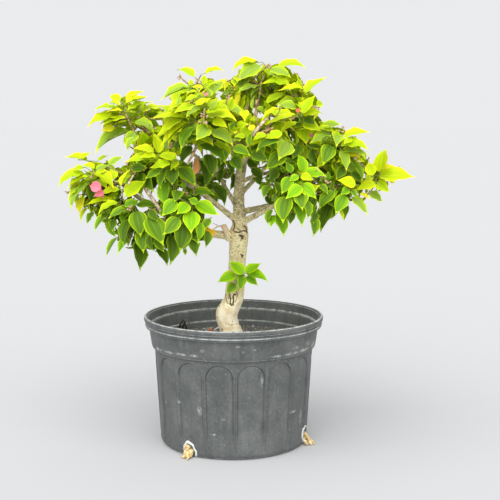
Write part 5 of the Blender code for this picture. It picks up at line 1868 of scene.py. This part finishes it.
def arch_offset(across, height, top, strip_half):
    """How far the wall stands out: sunk in the arch, a fine groove at its edge, a seam between arches."""
    if abs(across) >= 1.0:
        return seam_offset(across, strip_half)
    side = (1.0 - abs(across)) * ARCH_HALF_WIDTH * BODY_TOP_RADIUS
    below = height - ARCH_FOOT
    edge = min(side, top - height)
    if edge <= 0.0 or below <= 0.0:
        return 0.0
    groove = math.exp(-(((edge - 0.0010) / 0.0009) ** 2)) * ARCH_GROOVE
    return -(ARCH_DEPTH * min(1.0, edge / 0.0006) + groove) * min(1.0, below / ARCH_FADE)


def wall_column(across, strip_half):
    """Outline of the wall from the foot of the arches to above them, at a share across one arch."""
    crown = BODY_TOP_RADIUS * ARCH_HALF_WIDTH
    inside = max(-1.0, min(1.0, across))
    top = ARCH_TOP - crown + crown * math.sqrt(max(0.0, 1.0 - inside * inside))
    seam = seam_offset(across, strip_half) if abs(across) > 1.0 else 0.0
    column = [(wall_radius(ARCH_FOOT - drop) + seam, ARCH_FOOT - drop) for drop in (0.0040, 0.0020, 0.0008)]
    margin = ARCH_ROWS_BELOW[-1]
    tall = top - margin - ARCH_FOOT - margin
    heights = [ARCH_FOOT + rise for rise in ARCH_ROWS_BELOW]
    heights += [ARCH_FOOT + margin + tall * k / ARCH_ROWS_BETWEEN for k in range(1, ARCH_ROWS_BETWEEN)]
    heights += [top - drop for drop in ARCH_ROWS_ABOVE]
    column += [(wall_radius(h) + arch_offset(across, h, top, strip_half), h) for h in heights]
    above = [top + (COLLAR_FOOT - 0.0025 - top) * share for share in (0.04, 0.10, 0.4, 0.7)]
    return column + [(wall_radius(h) + seam * (1.0 - k / 3.0), h) for k, h in enumerate(above)]


def pot_shell():
    """Points and faces of the pot: one grid round the axis, its rows bent over the arches."""
    shares, strip_half = arch_columns()
    columns = [lower_outline() + wall_column(across, strip_half) + upper_outline() for across in shares]
    verts = []
    for n in range(ARCH_COUNT):
        for across, column in zip(shares, columns):
            angle = ARCH_TURN + 2.0 * math.pi / ARCH_COUNT * n + ARCH_HALF_WIDTH * across
            verts += [around(radius, angle, height) for radius, height in column]
    faces = []
    rows = len(columns[0])
    for start in range(0, len(verts), rows):
        beside = (start + rows) % len(verts)
        for row in range(rows - 1):
            a, b = start + row, beside + row
            faces.append((a, b, b + 1, a + 1))
    return verts, faces


def close_axis(obj):
    """Merge the points that meet on the pot's axis."""
    shell = bmesh.new()
    shell.from_mesh(obj.data)
    near = [vert for vert in shell.verts if math.hypot(vert.co.x, vert.co.y) < 1e-6]
    bmesh.ops.remove_doubles(shell, verts=near, dist=1e-6)
    bmesh.ops.recalc_face_normals(shell, faces=shell.faces)
    shell.to_mesh(obj.data)
    shell.free()


# Rings of a drain hole's lip: steps out from the hole's edge and off the wall.
LIP_RINGS = ((0.0, 0.0012), (0.0008, 0.0019), (0.0019, 0.0011), (0.0034, 0.00012))
LIP_POINTS = 40
LIP_LOWEST = 0.0006
LIP_UNEVEN = 0.35
LIP_START = 1.02
LIP_REACH = 0.03
DRAIN_POINTS = 20
DRAIN_SLOPE = 0.45
DRAIN_OUT = 0.0045
DRAIN_CUT = (-0.0105, 0.016)


def drain_outline(angle, k, count):
    """A point on the ragged edge of a drain hole, in the plane square to the hole's axis."""
    turn = 2.0 * math.pi * k / count
    ragged = 1.0 + 0.07 * math.sin(3.0 * turn + 5.0 * angle) + 0.05 * math.sin(7.0 * turn + 2.0 * angle)
    return DRAIN_RADIUS * ragged * math.cos(turn), DRAIN_RADIUS * ragged * math.sin(turn)


def drain_frame(angle):
    """Centre of a drain hole, and its directions across, up and out."""
    out = around(1.0, angle, -DRAIN_SLOPE).normalized()
    across = out.cross(UP).normalized()
    height = DRAIN_HEIGHTS[DRAIN_ANGLES.index(angle)]
    return around(BASE_RADIUS + DRAIN_OUT, angle, height), across, across.cross(out), out


def drain_cutter(angle):
    """A ragged bar through the pot's bottom corner."""
    centre, across, up, out = drain_frame(angle)
    verts = []
    for reach in DRAIN_CUT:
        for k in range(DRAIN_POINTS):
            a, b = drain_outline(angle, k, DRAIN_POINTS)
            verts.append(centre + out * reach + across * a + up * b)
    return add_mesh("drain_cutter", verts, ring_faces(2, DRAIN_POINTS), [])


def pot_piece(finish):
    """The pot's shell with its drain holes cut through."""
    obj = add_mesh("pot_shell", *pot_shell(), [finish])
    close_axis(obj)
    cutters = [drain_cutter(angle) for angle in DRAIN_ANGLES]
    group = bpy.data.collections.new("drain_cutters")
    for cutter in cutters:
        group.objects.link(cutter)
    cut = obj.modifiers.new("drains", "BOOLEAN")
    cut.operation = "DIFFERENCE"
    cut.operand_type = "COLLECTION"
    cut.collection = group
    cut.solver = "EXACT"
    evaluated_mesh(obj)
    for cutter in cutters:
        bpy.data.objects.remove(cutter, do_unlink=True)
    bpy.data.collections.remove(group)
    obj.data.shade_smooth()
    obj.data.set_sharp_from_angle(angle=math.radians(40.0))
    return obj


def drain_lips(pot, finish):
    """Pale stressed plastic round each drain hole, drawn out a little from the wall."""
    shell = bmesh.new()
    shell.from_mesh(pot.data)
    pot_tree = BVHTree.FromBMesh(shell)
    shell.free()
    verts, faces = [], []
    for angle in DRAIN_ANGLES:
        centre, across, up, out = drain_frame(angle)
        base = len(verts)
        for grow, lift in LIP_RINGS:
            for k in range(LIP_POINTS):
                swell = 1.0 + LIP_UNEVEN * math.sin(2.0 * math.pi * k / LIP_POINTS * 2.0 + angle)
                a, b = drain_outline(angle, k, LIP_POINTS)
                far = math.hypot(a, b)
                a, b = a * (far + grow * swell) / far, b * (far + grow * swell) / far
                origin = centre + across * (a * LIP_START) + up * (b * LIP_START) + out * LIP_REACH
                hit, normal = pot_tree.ray_cast(origin, -out)[:2]
                if hit is None or (hit - centre).length > LIP_REACH:
                    hit, normal = centre + across * a + up * b, out
                spot = hit + normal * lift
                spot.z = max(spot.z, LIP_LOWEST)
                verts.append(spot)
        for start in range(base, len(verts) - LIP_POINTS, LIP_POINTS):
            for k in range(LIP_POINTS):
                a, b = start + k, start + (k + 1) % LIP_POINTS
                faces.append((a, b, b + LIP_POINTS, a + LIP_POINTS))
    return add_mesh("drain_lips", verts, faces, [finish])


def inner_radius(height):
    """Inner radius of the pot at a height below the soil level."""
    foot = (BASE_RADIUS - INNER_EASE, FLOOR_THICKNESS)
    corner = (BODY_FOOT_RADIUS - WALL - INNER_EASE, BODY_FOOT)
    top = (COLLAR_FOOT_RADIUS - WALL - LEDGE_IN, LEDGE_FOOT)
    low, high = (foot, corner) if height < BODY_FOOT else (corner, top)
    return low[0] + (high[0] - low[0]) * (height - low[1]) / (high[1] - low[1])


SOIL_RINGS = 44
SOIL_SPOKES = 132
SOIL_CRUMBS = 2600
SOIL_REACH = 0.13
SOIL_LIFT = 0.0006
SOIL_LUMP = 0.0011
SOIL_SINK = 0.0020
CRUMB_SIZES = (0.0007, 0.0024)
CRUMB_MARGIN = 0.004
CHIP_SHARE = 0.80
GRIT_SHARE = 0.75


def soil_height(x, y):
    """Height of the soil's surface: loose, a little mounded at the trunk, sunk at the pot's wall."""
    far = math.hypot(x, y)
    lumps = noise.fractal(Vector((x, y, 0.0)) * 70.0, 0.8, 2.1, 4)
    return SOIL_LEVEL + SOIL_LIFT + SOIL_LUMP * lumps - SOIL_SINK * (far / SOIL_REACH) ** 4


def soil_piece(finish):
    """The soil as a closed drum with a loose, uneven top."""
    verts = [Vector((0.0, 0.0, soil_height(0.0, 0.0)))]
    edge = inner_radius(SOIL_LEVEL) - 2.0 * GAP
    for ring in range(1, SOIL_RINGS + 1):
        radius = edge * ring / SOIL_RINGS
        for k in range(SOIL_SPOKES):
            point = around(radius, 2.0 * math.pi * k / SOIL_SPOKES, 0.0)
            verts.append(Vector((point.x, point.y, soil_height(point.x, point.y))))
    for height in (BODY_FOOT, FLOOR_THICKNESS + GAP):
        for k in range(SOIL_SPOKES):
            verts.append(around(inner_radius(height) - 2.0 * GAP, 2.0 * math.pi * k / SOIL_SPOKES, height))
    verts.append(Vector((0.0, 0.0, FLOOR_THICKNESS + GAP)))
    faces = []
    for k in range(SOIL_SPOKES):
        n = (k + 1) % SOIL_SPOKES
        faces.append((0, 1 + k, 1 + n))
        for ring in range(SOIL_RINGS + 1):
            a = 1 + ring * SOIL_SPOKES
            b = a + SOIL_SPOKES
            faces.append((a + k, b + k, b + n, a + n))
        end = 1 + (SOIL_RINGS + 1) * SOIL_SPOKES
        faces.append((end + k, len(verts) - 1, end + n))
    return add_mesh("soil_mix", verts, faces, [finish])


def crumb_shape(place, size, rng):
    """One rough crumb: an uneven eight-sided lump."""
    ends = [Vector(v) for v in ((1, 0, 0), (-1, 0, 0), (0, 1, 0), (0, -1, 0), (0, 0, 1), (0, 0, -1))]
    turn = Matrix.Rotation(rng.uniform(0.0, 6.28), 3, Vector([rng.uniform(-1, 1) for axis in range(3)]))
    verts = [place + turn @ (end * (size * rng.uniform(0.55, 1.15))) for end in ends]
    faces = [(0, 2, 4), (2, 1, 4), (1, 3, 4), (3, 0, 4), (2, 0, 5), (1, 2, 5), (3, 1, 5), (0, 3, 5)]
    return verts, faces


def soil_crumbs(finishes):
    """Bark chips, grit and pale specks that lie loose on the soil."""
    rng = random.Random(77)
    shapes, slots = [], []
    edge = inner_radius(SOIL_LEVEL) - CRUMB_MARGIN
    height, lean, trunk_radius = TRUNK_STATIONS[0]
    for n in range(SOIL_CRUMBS):
        radius = edge * math.sqrt(rng.random())
        spot = around(radius, rng.uniform(0.0, 2.0 * math.pi), 0.0)
        if math.hypot(spot.x - lean, spot.y) < trunk_radius + CRUMB_MARGIN:
            continue
        size = rng.uniform(*CRUMB_SIZES)
        spot.z = soil_height(spot.x, spot.y) + size * 0.35
        shapes.append(crumb_shape(spot, size, rng))
        kind = 0 if rng.random() < CHIP_SHARE else (1 if rng.random() < GRIT_SHARE else 2)
        slots += [kind] * len(shapes[-1][1])
    return add_mesh("soil_crumbs", *gather(shapes), finishes, slots, smooth=False)


# Roots and bits that lie on the soil: foot, bow and tip, radius, rise in the middle, and slot of its colour.
SURFACE_BITS = (
    ((-0.099, 0.068), (-0.096, 0.076), (-0.083, 0.075), 0.0010, 0.016, 3),
    ((-0.097, 0.072), (-0.090, 0.066), (-0.082, 0.074), 0.0009, 0.021, 3),
    ((-0.095, 0.066), (-0.086, 0.080), (-0.087, 0.070), 0.0009, 0.013, 3),
    ((-0.100, 0.070), (-0.092, 0.078), (-0.090, 0.066), 0.0009, 0.010, 3),
    ((-0.092, 0.074), (-0.086, 0.070), (-0.084, 0.066), 0.0010, 0.017, 3),
    ((-0.088, 0.070), (-0.084, 0.076), (-0.081, 0.070), 0.0008, 0.022, 0),
    ((-0.045, 0.063), (-0.041, 0.068), (-0.036, 0.064), 0.0016, 0.003, 1),
    ((-0.036, 0.066), (-0.027, 0.079), (-0.018, 0.084), 0.0012, 0.005, 2),
    ((0.052, 0.060), (0.066, 0.070), (0.084, 0.064), 0.0009, 0.007, 0),
    ((0.050, -0.050), (0.062, -0.066), (0.080, -0.060), 0.0009, 0.007, 0),
    ((-0.060, -0.050), (-0.052, -0.066), (-0.036, -0.070), 0.0008, 0.007, 2),
)


def soil_bits(finishes):
    """Dry roots and scraps on the soil."""
    shapes, slots = [], []
    for foot, bow, tip, radius, rise, slot in SURFACE_BITS:
        points = []
        for share in (0.0, 0.25, 0.5, 0.75, 1.0):
            spot = bend(Vector((*foot, 0.0)), Vector((*bow, 0.0)), Vector((*tip, 0.0)), share)
            lift = radius * 1.1 + rise * math.sin(math.pi * share)
            points.append(Vector((spot.x, spot.y, soil_height(spot.x, spot.y) + lift)))
        shapes.append(tube(points, [radius * share for share in (0.6, 1.0, 1.2, 0.9, 0.5)], 7))
        slots += [slot] * len(shapes[-1][1])
    return add_mesh("soil_bits", *gather(shapes), finishes, slots)


GROUND_GAP = 0.0012
ROOT_LOWEST = 0.0007
STRAND_SWAY = 0.012
STRAND_STEP = 0.0012
STRAND_SIDES = 14
# Roots out of the front drain holes: hole, then turn, reach, height at the wall and radius of each strand.
DRAIN_STRANDS = {
    "drain_root_left": (
        0, ((-2.0, 0.002, 0.0175, 0.0040), (1.0, 0.013, 0.0110, 0.0038), (-1.5, 0.017, 0.0080, 0.0026),
            (3.0, 0.022, 0.0060, 0.0016), (2.5, 0.004, 0.0130, 0.0030)),
    ),
    "drain_root_right": (
        1, ((-1.0, 0.012, 0.0200, 0.0026), (-3.5, 0.007, 0.0120, 0.0024), (0.5, 0.016, 0.0150, 0.0024),
            (1.0, 0.004, 0.0110, 0.0022)),
    ),
}


def strand_path(angle, strand, rng):
    """Points and radii of one root, from inside its drain hole out and down to the ground."""
    turn, spread, height, radius = strand
    lean = math.radians(turn)
    wall = inner_radius(height) + 0.0015
    sways = [rng.uniform(-STRAND_SWAY, STRAND_SWAY) for bend_number in range(2)]
    points = [
        around(wall - 0.001, angle + lean * 0.3, height),
        around(wall + 0.004, angle + lean * 0.6 + sways[0], height * 0.90),
        around(wall + 0.005 + 0.35 * spread, angle + lean * 0.8, height * 0.62 + 0.0010),
        around(wall + 0.006 + 0.75 * spread, angle + lean + sways[1], radius + GROUND_GAP),
        around(wall + 0.006 + spread, angle + lean * 1.3, radius * 0.7 + GROUND_GAP),
    ]
    return smooth_path(points, [radius * share for share in (0.85, 1.10, 0.90, 1.00, 0.45)], STRAND_STEP)


def knotted(point):
    """A point of a root, moved as its knotted surface asks and kept off the ground."""
    swell = 0.0011 * noise.noise(point * 260.0) + 0.0004 * noise.noise(point * 700.0)
    return Vector((point.x + swell, point.y - swell, max(ROOT_LOWEST, point.z + swell)))


def drain_roots(finish):
    """Knotted roots that grew out through the front drain holes and lie on the ground."""
    rng = random.Random(91)
    for name, (hole, strands) in DRAIN_STRANDS.items():
        shapes = []
        for strand in strands:
            verts, faces = tube(*strand_path(DRAIN_ANGLES[hole], strand, rng), STRAND_SIDES)
            shapes.append(([knotted(vert) for vert in verts], faces))
        place_piece(add_mesh(name + "_wood", *gather(shapes), [finish]), "root", name)


def stub_end(finish):
    """The pale, barkless end of the pruned stub."""
    foot = Vector(STUB_FOOT)
    tip = Vector(PRUNED_STUB_TIP)
    heading = (tip - foot).normalized()
    points = [foot + heading * 0.008, foot + heading * 0.014]
    points += [tip - heading * 0.004, tip, tip + heading * 0.0012]
    radii = [PRUNED_STUB_RADIUS * share for share in (0.75, 1.06, 1.12, 1.00, 0.60)]
    path, widths = smooth_path(points, radii, 0.0012)
    verts, faces = tube(path, widths, 24)
    lumpy = [vert + (vert - tip).normalized() * (0.0007 * noise.noise(vert * 300.0)) for vert in verts]
    return add_mesh("stub_end", lumpy, faces, [finish])


def dry_twig(finish):
    """The dry forked twig left on the pruned stub."""
    start = Vector(PRUNED_STUB_TIP)
    end = Vector(DRY_TWIG_TIP)
    rng = random.Random(5)
    middle = start.lerp(end, 0.5) + UP * 0.002
    shapes = [twig_tube([start, middle, end], [0.0014, 0.0011, 0.0008], rng, 0.002)]
    fork = start.lerp(end, 0.35) + UP * 0.001
    fork_tip = fork + Vector((-0.011, -0.004, 0.006))
    shapes.append(twig_tube([fork, fork.lerp(fork_tip, 0.5), fork_tip], [0.0008, 0.0007, 0.0005], rng, 0.002))
    return add_mesh("dry_twig_wood", *gather(shapes), [finish])


# Name, colour, roughness and sheen of each kind of bract.
BRACT_KINDS = {
    "pink": ("bract_pink", (0.88, 0.22, 0.29), 0.55, 0.25),
    "red": ("bract_red", (0.85, 0.16, 0.06), 0.55, 0.4),
    "dry": ("dry_leaf", (0.92, 0.42, 0.15), 0.7, 0.4),
    "orange": ("withered_leaf", (0.98, 0.56, 0.01), 0.6, 0.25),
}


def bract_piece(bracts):
    """Pink bracts, a red scrap, a dry leaf inside the crown and a withered one at the low left bough."""
    rng = random.Random(12)
    shapes = [(leaf_points(*leaf[:4], rng), LEAF_FACES) for kind, leaf in bracts]
    kinds = list(BRACT_KINDS)
    slots = [kinds.index(kind) for kind, leaf in bracts for face in LEAF_FACES]
    finishes = [
        plain_material(name, colour, roughness, specular=sheen)
        for name, colour, roughness, sheen in BRACT_KINDS.values()
    ]
    return add_mesh("bracts", *gather(shapes), finishes, slots)


class Foliage:
    """Leaves, stalks, twigs and dry buds of the whole plant, which share one row of random numbers."""

    def __init__(self):
        self.rng = random.Random(2024)
        self.woody, self.stalks, self.buds, self.sheets = [], [], [], []

    def twig(self, path, radii, step=TWIG_STEP):
        """Add a twig along a path."""
        self.woody.append(twig_tube(path, radii, self.rng, step))

    def leaf(self, sheets, leaf, tone):
        """Add a leaf to a sheet, and its stalk."""
        sheets.add(leaf, tone_at(tone, leaf), self.rng)
        self.stalks.append(petiole_tube(leaf))

    def mass(self, name, growth, finer, seen):
        """Add all that grows in one mass."""
        stem, radii, shoots, leaves = growth
        twigs, more = finer
        self.twig(stem, radii)
        for shoot in shoots[1:]:
            self.twig(shoot, SHOOT_RADII)
        for twig in twigs:
            self.twig(twig, SIDE_TWIG_RADII, FINE_STEP)
        for path in shoots + twigs:
            if self.rng.random() < BUD_SHARE:
                self.buds += bud_shapes(path, self.rng)
        if not self.sheets or len(self.sheets[-1].slots) * 2 > LEAF_PIECE_LIMIT - MASS_TRIANGLES:
            self.sheets.append(Sheets(f"leaves_{len(self.sheets) + 1}"))
        sheets = self.sheets[-1]
        sheets.masses.append(name)
        shown = [(leaf.leaf(), leaf.tone) for leaf in seen if leaf.mass == name]
        hub_twigs, hub_stalks = spray_twigs([leaf for leaf, tone in shown], shoots)
        for twig in hub_twigs:
            self.twig(twig, HUB_TWIG_RADII, FINE_STEP)
        self.stalks += [tube(stalk, [PETIOLE_RADIUS] * 3, 3) for stalk in hub_stalks]
        for leaf, tone in shown:
            self.leaf(sheets, leaf, tone)
        for leaf in more:
            self.leaf(sheets, leaf, leaf_tone(leaf, self.rng))

    def sprout(self, stem):
        """Add the leafy shoot low on the trunk, whose leaves make a sheet of their own."""
        sheets = Sheets("sprout_leaves")
        for tone, rows in SPROUT_LEAVES.items():
            for row in rows:
                leaf = SeenLeaf(row, tone, depth=SPROUT_DEPTH).leaf()
                self.leaf(sheets, leaf, tone)
                stalk = [stem[-1], stem[-1].lerp(leaf[0], 0.5), leaf[0]]
                self.stalks.append(tube(stalk, [PETIOLE_RADIUS] * 3, 4))
        self.twig(stem, SPROUT_RADII, 0.002)
        return sheets


def bark_pieces(paths, curves):
    """The trunk with its fork, and the limbs beyond it."""
    finishes = [bark_material()]
    # Dark and brown painted shade for the faces deep in the bark's cracks and dents.
    for name, colour in CRACK_SHADE_COLOURS.items():
        finishes.append(plain_material(name, colour, 0.85, grain=500.0, relief=0.4, specular=0.2))
    place_piece(trunk_piece(paths, curves, finishes), "bark", "trunk", "leader", "pruned_stub")
    boughs = [name for name in LIMBS if name != "leader"]
    place_piece(limb_piece(curves, finishes), "old_bark", *boughs)


def foliage_pieces(paths, grown, finer, seen, seen_twigs):
    """Leaf sheets, twigs, stalks and dry buds; it gives back the shapes of the dry limbs that show."""
    foliage = Foliage()
    for name, growth in grown.items():
        foliage.mass(name, growth, finer[name], seen)
    sprout = foliage.sprout(sprout_stem(paths))
    for dry, points, radii in seen_twigs:
        if not dry:
            foliage.twig(points, radii, FINE_STEP)
    for u, v, count in BUD_PLACES:
        place = crown_front(u, v)[1] - sight(u, v) * BUD_FORWARD
        foliage.buds += flower_ends(place, count, foliage.rng)
    finishes = leaf_finishes()
    place_piece(sprout.build(finishes), "leaf", "trunk_sprout")
    for sheets in foliage.sheets:
        place_piece(sheets.build(finishes), "leaf", *sheets.masses)
    twig_finish = twig_material("twig", (0.16, 0.085, 0.035), (0.56, 0.38, 0.17))
    place_piece(add_mesh("twigs", *gather(foliage.woody), [twig_finish]), "old_bark")
    stalk_finish = plain_material("leaf_stalk", (0.30, 0.38, 0.06), 0.5)
    place_piece(add_mesh("leaf_stalks", *gather(foliage.stalks), [stalk_finish]), "leaf")
    bud_finish = plain_material("dry_bud", (0.58, 0.38, 0.22), 0.75)
    place_piece(add_mesh("dry_buds", *gather(foliage.buds), [bud_finish]), "leaf")
    return [twig_tube(points, radii, foliage.rng, FINE_STEP) for dry, points, radii in seen_twigs if dry]


def plant_pieces():
    """Every piece of the plant."""
    paths, curves = limb_curves()
    limbs = limb_tree(paths)
    grown = grow_masses(paths, limbs)
    seen = seen_leaves()
    bracts = seen_bracts()
    shown = [leaf.leaf() for leaf in seen] + [leaf for kind, leaf in bracts]
    seen_twigs = [(dry, *seen_twig(width, behind, pixels)) for dry, width, behind, pixels in SEEN_TWIGS]
    view = FrontView(shown, [tube(points, radii, 4) for dry, points, radii in seen_twigs])
    finer = grow_finer(grown, limbs, view, seen)
    bark_pieces(paths, curves)
    dry_limbs = foliage_pieces(paths, grown, finer, seen, seen_twigs)
    cut = plain_material("cut_wood", (0.86, 0.64, 0.42), 0.8, grain=400.0, relief=0.5, specular=0.2)
    place_piece(stub_end(cut), "cut_wood")
    place_piece(dry_twig(cut), "cut_wood", "dry_twig")
    place_piece(bract_piece(bracts), "leaf")
    dry_wood = twig_material("dry_wood", (0.30, 0.20, 0.12), (0.84, 0.68, 0.50))
    place_piece(add_mesh("dry_limbs", *gather(dry_limbs), [dry_wood]), "old_bark")
    drain_roots(twig_material("dry_root", (0.42, 0.22, 0.06), (0.92, 0.76, 0.38)))


def pot_pieces():
    """The pot, its stressed drain lips and the soil with all that lies on it."""
    pot = pot_piece(pot_material())
    place_piece(pot, "pot", "pot")
    lip = plain_material("stressed_plastic", (0.62, 0.63, 0.60), 0.6, grain=350.0, relief=0.4)
    place_piece(drain_lips(pot, lip), "pot")
    place_piece(soil_piece(soil_material()), "soil", "soil")
    chip = plain_material("bark_chip", (0.180, 0.170, 0.150), 0.9, grain=500.0, relief=0.5, specular=0.15)
    grit = plain_material("grit", (0.420, 0.410, 0.370), 0.9, grain=500.0, relief=0.5, specular=0.15)
    pale = plain_material("pale_speck", (0.72, 0.71, 0.66), 0.8, grain=500.0, relief=0.3)
    place_piece(soil_crumbs([chip, grit, pale]), "soil")
    scrap = plain_material("orange_scrap", (0.62, 0.16, 0.04), 0.7)
    dark_root = plain_material("dark_root", (0.030, 0.027, 0.024), 0.9, grain=500.0, relief=0.5, specular=0.1)
    place_piece(soil_bits([chip, scrap, pale, dark_root]), "soil")


def stage_floor():
    """A plain pale floor."""
    corners = ((-1, -1), (1, -1), (1, 1), (-1, 1))
    verts = [(x * FLOOR_REACH, y * FLOOR_REACH, FLOOR_LEVEL) for x, y in corners]
    finish = plain_material("floor_paint", (0.536, 0.539, 0.543), 0.9, grain=40.0, relief=0.02, specular=0.0)
    add_mesh("floor", verts, [(0, 1, 2, 3)], [finish], smooth=False)


def soft_sun(name, towards, spread, strength):
    """A broad, even light from one side."""
    data = bpy.data.lights.new(name, "SUN")
    data.angle = math.radians(spread)
    data.energy = strength
    lamp = bpy.data.objects.new(name, data)
    lamp.rotation_euler = Vector(towards).to_track_quat("Z", "Y").to_euler()
    bpy.context.scene.collection.objects.link(lamp)


def studio_light():
    """Soft studio light from above and the front, and a pale world."""
    for light in LIGHTS:
        soft_sun(*light)
    world = bpy.data.worlds.new("studio")
    world.use_nodes = True
    background = world.node_tree.nodes["Background"]
    background.inputs["Color"].default_value = (*WORLD_COLOUR, 1.0)
    background.inputs["Strength"].default_value = WORLD_STRENGTH
    bpy.context.scene.world = world
    bpy.context.scene.view_settings.view_transform = "Standard"


def photo_camera():
    """The camera of the photograph."""
    data = bpy.data.cameras.new("camera")
    data.lens = CAMERA_LENS
    data.sensor_width = CAMERA_SENSOR
    camera = bpy.data.objects.new("camera", data)
    camera.location = CAMERA_PLACE
    camera.rotation_euler = (math.pi / 2.0 - CAMERA_TILT, 0.0, -CAMERA_TURN)
    bpy.context.scene.collection.objects.link(camera)
    bpy.context.scene.camera = camera


plant_pieces()
pot_pieces()
stage_floor()
studio_light()
photo_camera()
